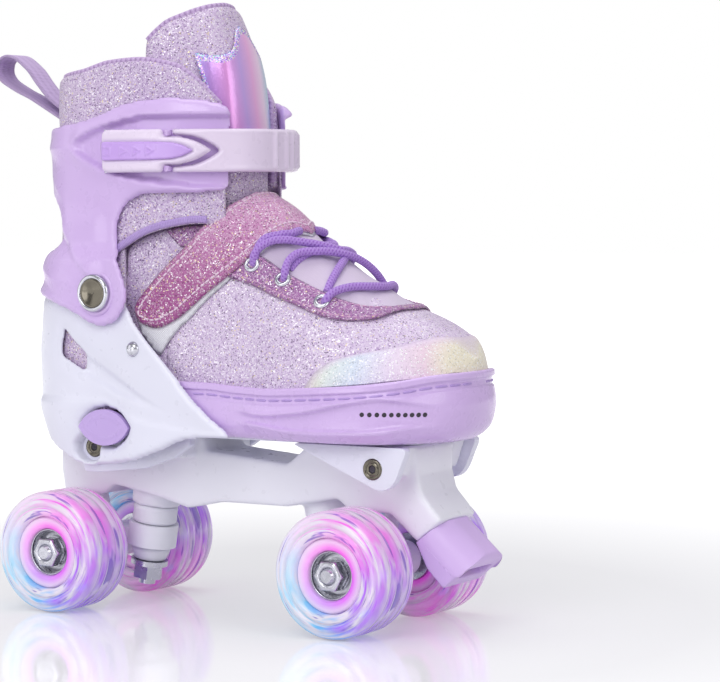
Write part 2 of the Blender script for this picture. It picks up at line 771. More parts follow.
@finish
def knit(name, key, pitch, strands, contrast=0.45):
    """Twisted or braided cord: slanting strands from the texture layout."""
    tint = tone_of(key)
    f = Finish("knit_" + name, Roughness=0.7, Sheen_Weight=0.2)
    along, share, _ = f.apart(f.coord.outputs["UV"])
    run = f.calc("DIVIDE", along, pitch)
    turn = f.calc("MULTIPLY", share, strands)
    one = f.calc("ABSOLUTE", f.calc("SINE", f.calc("MULTIPLY", f.calc("ADD", run, turn), math.pi)))
    two = f.calc("ABSOLUTE", f.calc("SINE", f.calc("MULTIPLY", f.calc("SUBTRACT", run, turn), math.pi)))
    height = f.calc("MAXIMUM", one, f.calc("MULTIPLY", two, 0.85))
    fibre = f.noise(1800, 3.0)
    worn = f.calc("MULTIPLY", height, f.span(fibre, 0.2, 0.8, 0.75, 1.1))
    f.set(Base_Color=f.mix(f.span(worn, 0.25, 0.95), shade(tint, 1 - contrast), pale(tint, 0.18)))
    f.set(Normal=f.bump(worn, 0.75, 0.5))
    return f.material


@finish
def woven(name, key, grain=0.9):
    """Plain fabric with crossing threads."""
    tint = tone_of(key)
    f = Finish("woven_" + name, Roughness=0.8, Sheen_Weight=0.25)
    x, y, z = f.apart(f.place)
    size = 2 * math.pi / (grain * MM)
    warp = f.calc("SINE", f.calc("MULTIPLY", f.calc("ADD", x, y), size))
    weft = f.calc("SINE", f.calc("MULTIPLY", f.calc("SUBTRACT", z, f.calc("MULTIPLY", y, 0.3)), size))
    cloth = f.calc("MULTIPLY", warp, weft)
    f.set(Base_Color=f.mix(f.span(cloth, -1.0, 1.0), shade(tint, 0.8), pale(tint, 0.12)))
    f.set(Normal=f.bump(cloth, 0.4, 0.25))
    return f.material


@finish
def thread(key, share=1.0):
    tint = shade(tone_of(key), share)
    f = Finish("thread_" + key, Roughness=0.6, Sheen_Weight=0.2)
    f.set(Base_Color=f.mix(f.noise(700, 2.0), shade(tint, 0.85), pale(tint, 0.2)))
    f.set(Normal=f.bump(f.noise(2600, 2.0), 0.3, 0.1))
    return f.material


@finish
def dark(name, level=0.03):
    """Shadowed recess or dark rubber."""
    f = Finish("dark_" + name, Roughness=0.6)
    f.set(Base_Color=f.mix(f.noise(300, 2.0), (level, level * 0.8, level * 1.3),
        (level * 2, level * 1.7, level * 2.4)))
    f.set(Normal=f.bump(f.noise(900, 2.0), 0.15, 0.15))
    return f.material


def wheel_colours(f, round_share):
    """Colours of a lit wheel by the clock: pink above, violet ahead, cyan below, near white behind."""
    pink, violet, cyan = [np.array(tone_of("glow_" + key)) for key in ("pink", "violet", "cyan")]
    return f.ramp(f.calc("SUBTRACT", 1.0, round_share), [(0.0, pale(pink, 0.2)), (0.1, pink),
        (0.25, mix(pink, violet, 0.75)), (0.4, violet), (0.5, mix(violet, cyan, 0.7)), (0.6, cyan),
        (0.72, pale(cyan, 0.5)), (0.83, pale(violet, 0.7)), (0.93, pale(pink, 0.55)),
        (1.0, pale(pink, 0.2))])


@finish
def clear_tyre(level=0.84):
    """Clear cast tyre that carries the lamps' light in streaks round its rings."""
    f = Finish("clear_tyre", Roughness=0.12, Coat_Weight=0.6, Coat_Roughness=0.04, IOR=1.45)
    share, round_share, _ = f.apart(f.coord.outputs["UV"])
    angle = f.calc("MULTIPLY", round_share, 2 * math.pi)

    def ring(reach, rise):
        x, y = [f.calc("MULTIPLY", f.calc(turn, angle), reach) for turn in ("COSINE", "SINE")]
        return f.add("ShaderNodeCombineXYZ", {0: x, 1: y, 2: f.calc("MULTIPLY", share, rise)}).outputs[0]

    lines, clouds = f.noise(1.0, 2.0, ring(1.3, 24.0)), f.noise(1.0, 2.0, ring(1.1, 7.0))
    slide = f.calc("ADD", round_share, f.calc("MULTIPLY", f.calc("SUBTRACT", clouds, 0.5), 0.3))
    lit = wheel_colours(f, f.calc("FRACT", f.calc("ADD", slide, 1.0)))
    lit_part = f.calc("MAXIMUM", f.span(lines, 0.46, 0.66, 0.0, 0.9), f.span(clouds, 0.44, 0.62, 0.0, 0.75))
    tint = f.mix(lit_part, (0.92, 0.89, 0.95), lit)
    tint = f.mix(f.span(lines, 0.33, 0.39, 0.75, 0.0), tint, linear("#5f3cc0"))
    f.set(Base_Color=tint, Emission_Color=lit, Emission_Strength=f.calc("MULTIPLY", lit_part, 0.2))
    f.set(Normal=f.bump(lines, 0.2, 0.4))
    clear = f.add("ShaderNodeBsdfTransparent", {0: (0.96, 0.93, 0.98)})
    facing = f.add("ShaderNodeLayerWeight", {"Blend": 0.35}).outputs["Facing"]
    body = f.span(facing, 0.0, 1.0, level, 0.98)
    blend = f.add("ShaderNodeMixShader", {0: body, 1: clear.outputs[0], 2: f.shader.outputs[0]})
    f.join(f.output.inputs["Surface"], blend.outputs[0])
    return f.material


@finish
def lit_hub(name, level):
    """Translucent white hub, purple where the light gathers round its recess."""
    f = Finish("hub_" + name, Roughness=0.25, Coat_Weight=0.3)
    share, round_share, _ = f.apart(f.coord.outputs["UV"])
    half = f.calc("SUBTRACT", 1.0, f.calc("ABSOLUTE", f.calc("SUBTRACT", f.calc("MULTIPLY", share, 2.0),
        1.0)))
    near = f.ramp(half, [(0.0, 0.45), (0.2, 0.6), (0.34, 1.0), (0.5, 0.95), (0.62, 0.4), (0.8, 0.2),
        (1.0, 0.15)])
    lit = f.mix(0.4, tone_of("glow_pink"), wheel_colours(f, round_share))
    f.set(Base_Color=f.mix(f.calc("MULTIPLY", near, 0.9), (0.9, 0.87, 0.95), lit), Emission_Color=lit)
    f.set(Emission_Strength=f.calc("MULTIPLY", near, level))
    f.set(Normal=f.bump(f.noise(800, 2.0), 0.1, 0.1))
    return f.material


@finish
def lamp(name, key, strength):
    f = Finish("lamp_" + name, Base_Color=pale(tone_of(key), 0.2), Roughness=0.2)
    f.set(Emission_Color=tone_of(key))
    f.set(Emission_Strength=f.span(f.noise(600, 2.0), 0.2, 0.8, strength * 0.7, strength * 1.2))
    return f.material


@finish
def rainbow(name, border):
    """Foil with soft upright bands of pink, lilac and pale blue, and a sparkling border."""
    f = Finish("foil_" + name, Roughness=0.25, Coat_Weight=0.5, Coat_Roughness=0.1, Metallic=0.25)
    x, y, z = f.apart(f.place)
    across = f.calc("ADD", f.calc("MULTIPLY", y, 24.0), f.calc("MULTIPLY", f.noise(14, 1.0), 0.35))
    band = f.calc("FRACT", f.calc("ADD", across, 4.0))
    tint = f.ramp(band, [(0.0, linear("#c8a8ea")), (0.18, linear("#f0b4e6")), (0.36, linear("#f7dcf6")),
        (0.52, linear("#b9dcf6")), (0.68, linear("#a98fe4")), (0.84, linear("#e29be0")),
        (1.0, linear("#c8a8ea"))])
    flakes = f.cells(1 / (0.5 * MM))
    chance = f.apart(flakes.outputs["Color"])
    glint = f.ramp(chance[0], [(0.0, linear("#9a6fd8")), (0.3, linear("#d9a7ee")),
        (0.55, linear("#f6e7ff")), (0.75, linear("#a6e6f4")), (0.88, linear("#fdf3a8")), (0.95, (1, 1, 1))],
        "CONSTANT")
    f.set(Base_Color=f.mix(f.span(f.rim(), border, border + 0.5, 1.0, 0.0), tint, glint))
    f.sparkle(flakes, f.span(f.rim(), border, border + 0.5, 0.5, 0.08))
    return f.material


@finish
def sunrise(name):
    """Toe cap: pastel drifts of yellow, pale blue and pink that fade into the fabric at its edge."""
    f = Finish("sunrise_" + name, Sheen_Weight=0.2)
    x, y, z = f.apart(f.place)
    drift = f.calc("MULTIPLY", f.calc("SUBTRACT", f.noise(22, 2.0), 0.5), 0.25)
    along = f.calc("ADD", f.span(x, 64 * MM, 127 * MM), drift)
    tint = f.ramp(along, [(0.0, linear("#f0f2d6")), (0.14, linear("#e4eeea")), (0.34, linear("#dbe5f5")),
        (0.58, linear("#e9daf0")), (0.8, linear("#efd6e6")), (0.96, linear("#f4ecd6"))])
    flakes = f.cells(1 / bpy.context.scene.skate_sizes.glitter)
    chance = f.apart(flakes.outputs["Color"])
    spark = f.ramp(chance[0], [(0.0, 0.72), (0.06, 0.93), (0.3, 1.0)], "CONSTANT")
    tint = f.mix(1.0, tint, spark, "MULTIPLY")
    tint = f.mix(f.span(chance[0], 0.9, 0.92), tint, (1.0, 1.0, 1.0))
    edge = f.span(f.rim(), 0.0, 7.0, 0.8, 0.0)
    f.set(Base_Color=f.mix(edge, tint, tone_of("fabric")))
    f.set(Roughness=f.span(chance[1], 0.0, 1.0, 0.25, 0.6))
    f.sparkle(flakes, 0.35)
    return f.material


def dress(material, *nodes):
    """Gives frame nodes their finish."""
    for node in nodes:
        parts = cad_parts[node].data.materials
        parts.clear()
        parts.append(material)


# Running gear

def wheel_centre(end, side):
    node = f"tyre_{end}_{side}"
    return (low(node) + high(node)) / 2


def mirrored(profile):
    """Closed profile from its outer half, for a piece alike on both faces."""
    return profile + [(r, -h) for r, h in reversed(profile)]


def hexagon(centre, out, across, height, bore, start=0.0):
    """Chamfered nut with round corners at both ends and a bore."""
    turn = full_turn(72)
    out, spoke = spokes(out, turn)
    flat = across / 2 / np.cos((turn + math.pi / 6) % (math.pi / 3) - math.pi / 6)
    cut = across / 2 + 0.2
    levels = [(bore, 0), (cut, 0), (None, 0.9), (None, height - 0.9), (cut, height), (bore + 0.5, height),
        (bore, height - 0.5)]
    rings = []
    for radius, h in levels:
        reach = flat if radius is None else np.minimum(flat, radius)
        rings.append(np.array(centre) + reach[:, None] * spoke + (start + h) * out)
    return np.concatenate(rings), grid_faces(len(levels), 72, wrap_m=True, wrap_n=True)


def make_wheel(end, side, out):
    body, at = f"wheel_{end}_{side}", wheel_centre(end, side)
    axis = (0, out, 0)
    half, tag = WHEEL_W / 2, f"{end}_{side}"
    rim = WHEEL_R
    depths = [(17.15, 3.0), (17.6, 1.0), (18.6, 0.3), (20.2, 0.1), (21.0, 0.3), (21.4, 1.2), (22.0, 1.3),
        (22.5, 0.6), (23.6, 0.3), (25.0, 0.7), (25.5, 1.5), (26.1, 1.6), (26.9, 1.5), (27.9, 2.4),
        (28.6, 3.8), (rim - 0.05, 5.6), (rim, 7.6), (rim - 0.35, 8.0), (rim, 8.4), (rim, 12.6),
        (rim - 0.35, 13.0), (rim, 13.4)]
    tyre = [(r, half - deep) for r, deep in depths]
    lathe(f"tyre_cast_{tag}", mirrored(tyre), at, axis, clear_tyre(), body, "tyre_clear", (f"tyre_{tag}",),
        128)
    hub = [(11.15, 6.4), (11.15, half - 9.1), (11.25, half - 4.2), (11.5, half - 3.3), (12.2, half - 2.8),
        (13.4, half - 2.5), (15.5, half - 2.4), (16.4, half - 2.6), (16.95, half - 3.4), (16.95, 1.5)]
    lathe(f"hub_cast_{tag}", mirrored(hub), at, axis, lit_hub("cast", 0.22), body, "hub_white",
        (f"hub_{tag}",), 96)
    band = [(17.2, 7.5), (19.2, 8.6), (20.0, 7.0), (20.0, 2.0)]
    lathe(f"glow_band_{tag}", mirrored(band), at, axis, lit_hub("band", 0.7), body, "lamp", (), 96)
    parts = {"glow_pink": [], "glow_violet": [], "glow_cyan": []}
    keys = list(parts)
    for k in range(6):
        turn = math.radians(60 * k + 30)
        spoke = np.array([math.sin(turn), 0, math.cos(turn)])
        across = np.array([math.cos(turn), 0, -math.sin(turn)])
        centre = at + spoke * 20.3
        box = [rounded([(-2.2, -2.2), (2.2, -2.2), (2.2, 2.2), (-2.2, 2.2)], 0.9, 4) * s
            for s in (1, 1, 0.7)]
        rings = [[centre + across * p[0] + np.array([0, p[1], 0]) + spoke * h for p in ring]
            for ring, h in zip(box, (-0.6, 0.9, 1.5))]
        parts[keys[k % 3]].append(loops_mesh(rings))
    lamps = [piece(f"lamps_{key[5:]}_{tag}", *merged(rows), lamp(key[5:], key, 0.8), body, "lamp")
        for key, rows in parts.items()]
    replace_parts(lamps[0], f"lights_{tag}")
    dress(metal("bearing", "steel"), f"bearings_{tag}")
    sleeve = [(10.3, 6.9), (10.3, half - 4.9), (10.6, half - 4.4), (11.05, half - 4.6), (11.1, 6.9)]
    shield = [(4.6, 6.9), (9.6, 7.05), (9.9, 6.8), (9.6, 6.6), (4.6, 6.6)]
    for face in (-1, 1):
        lathe(f"shield_{tag}_{'near' if face > 0 else 'far'}", shield, at, (0, out * face, 0),
            metal("shield", "steel", 0.4), body, "steel", (), 48)
        lathe(f"sleeve_{tag}_{'near' if face > 0 else 'far'}", sleeve, at, (0, out * face, 0),
            metal("sleeve", "steel", 0.2), body, "steel", (), 64)


def kingpin_place(sign, s):
    """Point on the leaning kingpin, a distance below its seat."""
    lean = math.radians(9)
    return np.array([sign * (AXLE_X - 29 + s * math.sin(lean)), 0, 49 - s * math.cos(lean)])


def make_truck(end, sign):
    body = f"truck_{end}"
    axis = kingpin_place(sign, 1) - kingpin_place(sign, 0)
    dress(plastic("bright", 0.36, 0.15), f"hanger_{end}")
    dress(metal("axle", "steel", 0.22), f"axle_{end}", f"spacers_{end}")
    upper = [(4.3, 0.4), (9.6, 0.15), (10.6, 0.7), (10.9, 2.2), (10.5, 4.4), (10.9, 6.8), (10.6, 8.5),
        (9.6, 9.0), (4.9, 8.8)]
    lower = [(5.0, 20.8), (8.3, 20.6), (9.3, 21.3), (9.3, 22.8), (8.4, 25.2), (7.6, 27.0), (6.8, 27.4),
        (4.3, 27.3)]
    rows = [lathe(f"cushion_{end}_{name}", prof, kingpin_place(sign, 0), axis, plastic("bright", 0.5, 0.0),
        None, "cushion", (), 64) for name, prof in (("upper", upper), ("lower", lower))]
    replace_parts(rows[0], f"cushions_{end}")
    for rubber, still, turning in zip(rows, (1.0, 27.0), (8.0, 21.5)):
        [Vector(kingpin_place(sign, s)) * MM for s in (still, turning)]
        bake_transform(rubber)
    nuts = []
    for out in (-1, 1):
        node = f"axle_nuts_{end}"
        y = low(node)[1] if out < 0 else high(node)[1]
        at = np.array([sign * AXLE_X, y - out * 6.5, wheel_centre(end, "outer")[2]])
        nuts.append(hexagon(at, (0, out, 0), 12.9, 6.5, 3.95))
    piece(f"lock_nuts_{end}", *merged(nuts), metal("nut", "steel", 0.24), body, "steel",
        (f"axle_nuts_{end}",))


class SKATE_OT_wheels(bpy.types.Operator):
    """Four lit wheels with cast tyres, hubs, lamps and bearings"""

    bl_idname = "skate.wheels"
    bl_label = "Wheels"

    def execute(self, context):
        for end, _ in ENDS:
            for side, out in SIDES:
                make_wheel(end, side, out)
        return {"FINISHED"}


class SKATE_OT_trucks(bpy.types.Operator):
    """Two trucks with their cushions and lock nuts"""

    bl_idname = "skate.trucks"
    bl_label = "Trucks"

    def execute(self, context):
        for end, sign in ENDS:
            make_truck(end, sign)
        dress(metal("kingpin", "steel", 0.3), "kingpins", "kingpin_nuts")
        dress(plastic("white", 0.5, 0.0), "pivot_cups")
        return {"FINISHED"}


class SKATE_OT_chassis(bpy.types.Operator):
    """Moulded chassis, toe stop and their bolts"""

    bl_idname = "skate.chassis"
    bl_label = "Chassis"

    def execute(self, context):
        rounded_copy("chassis_moulding", ["chassis"], plastic("bright"), "base", "shell_white", 0.9, 16)
        corner = np.array([AXLE_X + 39, 0, SOLE - 37.5])
        slope = np.array([15.5, 0, 17.0]) / math.hypot(15.5, 17.0)
        reach, bend = high("toe_stop")[1], 14.0

        def round_front(at):
            """Sinks the stop's front face towards its sides, so that they meet in a wide curve."""
            side = np.clip((np.abs(at[:, 1]) - reach + bend) / bend, 0, 1)
            need = bend * (1 - np.sqrt(1 - side ** 2))
            depth = -(at - corner) @ slope
            return at - slope * np.maximum(need - depth, 0)[:, None]

        rounded_copy("toe_stop_moulding", ["toe_stop"], plastic("lilac", 0.42, 0.05), "base", "stop", 0.7,
            14, round_front)
        dress(metal("bolt", "gold", 0.3), "toe_stop_bolt")
        heads, sockets = [], []
        turn = full_turn(48)
        hexed = np.cos(math.pi / 6) / np.cos((turn + math.pi / 6) % (math.pi / 3) - math.pi / 6)
        spoke = np.stack([np.cos(turn), 0 * turn, np.sin(turn)], 1)
        y = high("frame_bolts")[1]
        for x, z in ((-61.0, SOLE - 11), (93.0, SOLE - 14)):
            for side in (-1, 1):
                at = np.array([x, side * y, z])
                out = np.array([0, side, 0])
                rows = [(4.9, -3.0), (5.0, -0.7), (4.6, 0.1), (3.9, 0.3), (3.4, -0.2), (3.1, -0.3),
                    (2.9, 0.1), (2.1, 0.1)]
                rings = [at + r * spoke + h * out for r, h in rows]
                rings += [at + 1.95 * hexed[:, None] * spoke + h * out for h in (0.0, -1.6)]
                heads.append((np.concatenate(rings), grid_faces(len(rings), 48, wrap_m=True, wrap_n=True)))
                pit = [at + r * spoke - h * out for r, h in ((0.05, 0.3), (2.0, 0.32), (2.0, 0.45),
                    (0.05, 0.45))]
                sockets.append((np.concatenate(pit), grid_faces(4, 48, wrap_m=True, wrap_n=True)))
        piece("frame_bolt_heads", *merged(heads), metal("frame_bolt", "gunmetal", 0.2), "base", "steel",
            ("frame_bolts",))
        piece("frame_bolt_sockets", *merged(sockets), dark("socket"), "base", "steel")
        return {"FINISHED"}


# Moulded shells

SHELL_GAP, SHELL_WALL = 0.6, 3.0
ARM_IN, ARM_TIP = 42.8, 23.0
SHELL_SPREAD = curve([(-20, 5), (-6, 5.5), (10, 2), (25, 0), (80, 0)])
SHELL_TUCK = curve([(-20, -3.5), (-10, -1.5), (-3, 0), (80, 0)])
CUP_TIP, CUP_REAR, CUP_WIDE = 131.0, -20.0, 48.0
CUP_HALF = curve([(-20, 41.5), (15, 42), (26, 42.6), (44, 46.2), (62, 48)])
CUP_RIM = curve([(-20, 22), (9, 21.8), (25, 20.8), (42, 20.5), (58, 21.2), (68, 21.8), (89, 23.2),
    (110, 25.6), (124, 28), (131, 28.5)])
CUFF_TOP = curve([(-100, 142), (-80, 141), (-62, 143), (-48, 147), (-38, 151), (-26, 153), (-14, 154),
    (4, 152), (14, 148)])
CUFF_GAP = curve([(44, 4.8), (76, 4.8), (88, 0.6), (160, 0.6)])
BAND_Z = 129.0


def shell_side(x, z, d):
    """Half width of the heel shell and its arms, which flare to pass outside the toe cup."""
    share = smooth((x - ANKLE_MID - 6) / 32)
    spread = SHELL_SPREAD(z) * np.clip(d / SHELL_WALL, 0, 1)
    return mix(HALF(z) + SHELL_GAP + d + spread, ARM_IN + d, share)


def shell(a, z, d):
    a, z, d = together(a, z, d)
    side_share = np.sin(np.radians(np.clip(a, -90, 90))) ** 2
    spread = mix(SHELL_TUCK(z), SHELL_SPREAD(z) * np.clip(d / SHELL_WALL, 0, 1), side_share)
    back = ankle(np.clip(a, -90, 90), z, SHELL_GAP + d + spread)
    x = mix(ANKLE_MID, ARM_TIP, np.clip((np.abs(a) - 90) / 90, 0, 1))
    arm = np.stack([x, np.sign(a) * shell_side(x, z, d), z + SOLE], -1)
    return np.where((np.abs(a) <= 90)[..., None], back, arm)


def shell_angle(x, z):
    x = np.asarray(x, float)
    arm = 90 + 90 * (x - ANKLE_MID) / (ARM_TIP - ANKLE_MID)
    return np.where(x <= ANKLE_MID, ankle_angle(x, z, SHELL_GAP + 1.5), arm)


def both_halves(side):
    """Outline round the heel from its half on one side, which starts and ends at the back."""
    return np.concatenate([side, (side * (-1, 1))[::-1]])


def lens(x, z, width, height):
    """Pointed oval between two arcs."""
    r = (width * width + height * height) / (4 * height)
    reach = math.asin(width / 2 / r)
    turn = np.linspace(-reach, reach, 24)
    upper = np.stack([x + r * np.sin(turn), z + height / 2 - r + r * np.cos(turn)], 1)
    lower = np.stack([x + r * np.sin(turn), z - height / 2 + r - r * np.cos(turn)], 1)
    return np.concatenate([upper, lower[-2:0:-1]])


class SKATE_OT_heel_shell(bpy.types.Operator):
    """Heel shell with its arms, window, deck and lugs"""

    bl_idname = "skate.heel_shell"
    bl_label = "Heel shell"

    def execute(self, context):
        layout = Wrap(lambda a: shell(a, 20, 2))

        def flat(points, side):
            points = np.array(points, float)
            return np.stack([side * layout.unroll(shell_angle(points[:, 0], points[:, 1])), points[:, 1]],
                1)

        half = flat([(-120, -10.5), (-92, -10.8), (-84, -12.4), (-77, -15), (-71.5, -17.8), (-67.5, -19.4),
            (-63, -20.1), (-57, -19.9), (-45, -18.4), (-32, -16), (-15, -10), (-6, -5.6), (2, -3.6),
            (14, -3.2), (22.9, -2.6), (21.5, 0.4), (11, 7.5), (2, 15.5), (-6, 24), (-15, 33), (-23, 41),
            (-30, 49), (-38, 62), (-44, 69), (-50, 72.6), (-56, 71.5), (-64, 68), (-80, 67), (-120, 66)], 1)
        window = rounded([(-77, 36), (-74, 45), (-60.5, 33.2), (-62.5, 26), (-77, 33)], 1.1, 4)
        wedge = [np.array([(-66, 36), (-63, 24), (-42, 15.5), (-9, 7.2), (-33, 19.2)], float)]
        holes = [flat(window, s) for s in (-1, 1)] + [flat(circle(-61, -11, 5.9), s) for s in (-1, 1)]
        holes.append(flat(lens(-49, -0.5, 30.2, 17.9), -1))
        fold_a = curve([(-104, 10), (-83, 11.2), (-53.4, 12.3), (-27.4, 4), (6.5, -0.2), (23, -1.5)])
        fold_b = curve([(-80, 44), (-56, 33.5), (-33, 17.8), (-10, 8.4), (12, 2.5)])

        def relief(u, v, deep):
            x = shell(layout.roll(u), v, 2)[..., 0]
            lower = 1.1 * smooth((fold_a(x) - v) / 1.6 + 0.5)
            dist, _, within = to_edge(np.stack([x, v], 1), wedge)
            cut = smooth(np.where(within, dist, -dist) / 3.2 + 0.25) * smooth((-7 - x) / 30 + 0.2)
            bed = np.exp(-(np.maximum(to_edge(np.stack([x, v], 1), [window])[0] - 1, 0) / 4) ** 2)
            belt = 0.8 * np.exp(-((v - fold_b(x) - 9) / 8) ** 2) * smooth((x + 70) / 20)
            ring = np.hypot((x + 49) / 18, (v + 0.5) / 11.5)
            under = 1.1 * smooth((v - 57) / 6) * smooth((-74 - x) / 12)
            return lower - 1.9 * cut - 0.9 * bed + belt - 0.7 * smooth((1.12 - ring) / 0.2) - under

        surface = lambda u, v, d: shell(layout.roll(u), v, d)
        made = moulding(surface, [rounded(both_halves(half), 2.0)] + holes, mm("shell_cell"), SHELL_WALL,
            2.2, relief)
        sheet("heel_shell_moulding", made, plastic("white"), "base", "shell_white", ("heel_shell",), 1)
        deck = [(ankle(a, -4, 1.6)[0], ankle(a, -4, 1.6)[1]) for a in np.linspace(-85, 85, 36)]
        front = [(-40, 37), (-24, 37), (-22, 33), (70, 33), (91, 31), (104, 21), (106, 15)]
        plan = deck + front + [(x, -y) for x, y in reversed(front)]
        plan += [(-43.5, -37), (-43.5, -28.6), (-54.5, -28.6)]
        plates = [prism(plan, SOLE - 4, SOLE - 0.1, 0.9, "z")]
        rear_lug = [(-74, -4), (-67, -23), (-58, -23), (-32, -20), (-15, -14), (-6, -8), (-6, -4),
            (-43.5, -4), (-43.5, -7), (-54.5, -7), (-54.5, -4)]
        front_lug = rounded([(50, -4), (92, -22), (97, -24), (102, -22), (105, -18), (107, -13), (111, -4)],
            4)
        for side in (-1, 1):
            for lug in (rear_lug, front_lug):
                plates.append(prism([(x, z + SOLE) for x, z in lug], side * 29.7, side * 34.5, 0.8))
        piece("deck_moulding", *merged(plates), plastic("white"), "base", "shell_white")
        for node in ("shell_rivets", "ankle_rivets"):
            big = node == "ankle_rivets"
            y = high(node)[1] - (2.4 if big else 1.2)
            x = (low(node)[0] + high(node)[0]) / 2
            z = (low(node)[2] + high(node)[2]) / 2
            ring = [(6.6, 1.0), (6.9, 1.9), (7.5, 2.3), (8.2, 2.1), (8.8, 1.3), (9.0, 0.3), (8.8, -0.1),
                (6.6, -0.1)]
            dish = [(0.02, 0.9), (0.8, 0.905), (2.0, 0.95), (4.0, 1.3), (5.6, 1.75), (6.5, 2.0), (6.9, 1.6),
                (6.9, 0.2), (0.02, 0.2)]
            small = [(0.02, 2.0), (1.0, 1.9), (2.0, 1.6), (2.9, 1.0), (3.4, 0.3), (3.6, -0.3), (0.02, -0.3)]
            rows = [lathe(f"{node}_{name}", ring if big else small, (x, s * y, z), (0, s, 0),
                metal("rivet", "steel", 0.16), "base", "rivet", (), 64) for name, s in SIDES]
            if big:
                for name, s in SIDES:
                    lathe(f"rivet_dish_{name}", dish, (x, s * y, z), (0, s, 0),
                        metal("dish", "gunmetal", 0.14), "base", "rivet", (), 64)
            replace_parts(rows[0], node)
        return {"FINISHED"}


class SKATE_OT_size_button(bpy.types.Operator):
    """Push button that frees the toe slider, with its spring"""

    bl_idname = "skate.size_button"
    bl_label = "Size button"

    def execute(self, context):
        face = -low("size_button")[1]
        surface = lambda u, v, d: np.stack([u, -(face - 2.7 + d), v + SOLE], -1)
        ridge = lambda u, v, deep: 0.25 * np.exp(-((deep - 3.6) / 0.5) ** 2) - 0.15 * smooth((deep
            - 3.6) / 1.5)
        made = moulding(surface, [lens(-49, -0.5, 29.2, 17.2)], 0.8, 2.75, 3.0, ridge)
        sheet("size_button_cap", made, plastic("button", 0.3), "button", "lilac")
        dress(plastic("button"), "size_button")
        dress(metal("spring", "steel"), "button_spring")
        return {"FINISHED"}


def cup_plan(t, d):
    """Plan of the toe cup, from the inner rear round the tip to the outer rear."""
    t, d = together(t, d)
    x = mix(BALL_X, CUP_REAR, np.clip((np.abs(t) - 90) / 90, 0, 1))
    side = np.stack([x, np.sign(t) * (CUP_HALF(x) + d)], -1)
    tip = np.stack([BALL_X + (CUP_TIP - BALL_X + d) * np.abs(np.cos(np.radians(t))) ** (2 / TOE_N),
        (CUP_WIDE + d) * power(np.sin(np.radians(t)), 2 / TOE_N)], -1)
    return np.where((np.abs(t) > 90)[..., None], side, tip)


CUP_UPPER = curve([(-20, 11), (26, 10.5), (41, 9.5), (63, 11.5), (89, 17), (102, 18.5), (113, 17),
    (123, 15), (131, 14)])
CUP_LOWER = curve([(-20, 5), (34, 4.5), (63, 2), (93, 2.5), (120, 5.5), (131, 5.5)])
CUP_CURL = curve([(-2.5, -5), (0, -3.6), (4, -2.3), (8, -1.5), (14, -0.8), (23, -1.7), (29, -2.0)])
CUP_SKIRT = curve([(-2.5, -5), (-1, -3), (1, -1.5), (3.5, -0.4), (7, 0.1), (14, 0.3), (22, 0.1), (32, 0)])


def cup_curl(x, z):
    """Inward lean of the cup's face round its tip."""
    return CUP_CURL(z) * smooth((x - 98) / 30)


def cup(t, v, d=0.0):
    """Outer face of the toe cup: turn round the plan and share of the height, with its ridges and bead."""
    t, v, d = together(t, v, d)
    x = cup_plan(t, 0)[..., 0]
    rim = CUP_RIM(x)
    z = mix(-2.5, rim, v)
    show = smooth((x - 24) / 12) * (1 - smooth((x - 104) / 22))
    edged = smooth((x + 8) / 8)
    below = rim - z
    step = mm("ridge")
    upper = np.exp(-np.abs(z - CUP_UPPER(x)) / 2.4)
    lower = np.exp(-np.abs(z - CUP_LOWER(x)) / 2.2)
    band = smooth((z - CUP_LOWER(x)) / 2.0) * smooth((CUP_UPPER(x) - z) / 2.0)
    channel = smooth((below - 2.3) / 0.5) * smooth((6.9 - below) / 0.5)
    bead = smooth((2.9 - below) / 0.6)
    ridges = step * (0.75 * upper + 0.75 * lower - 0.5 * band)
    border = edged * (0.7 * bead - 0.65 * channel)
    out = CUP_SKIRT(z) + cup_curl(x, z) + show * ridges + border + d
    plan = cup_plan(t, out)
    return np.stack([plan[..., 0], plan[..., 1], z + SOLE], -1)


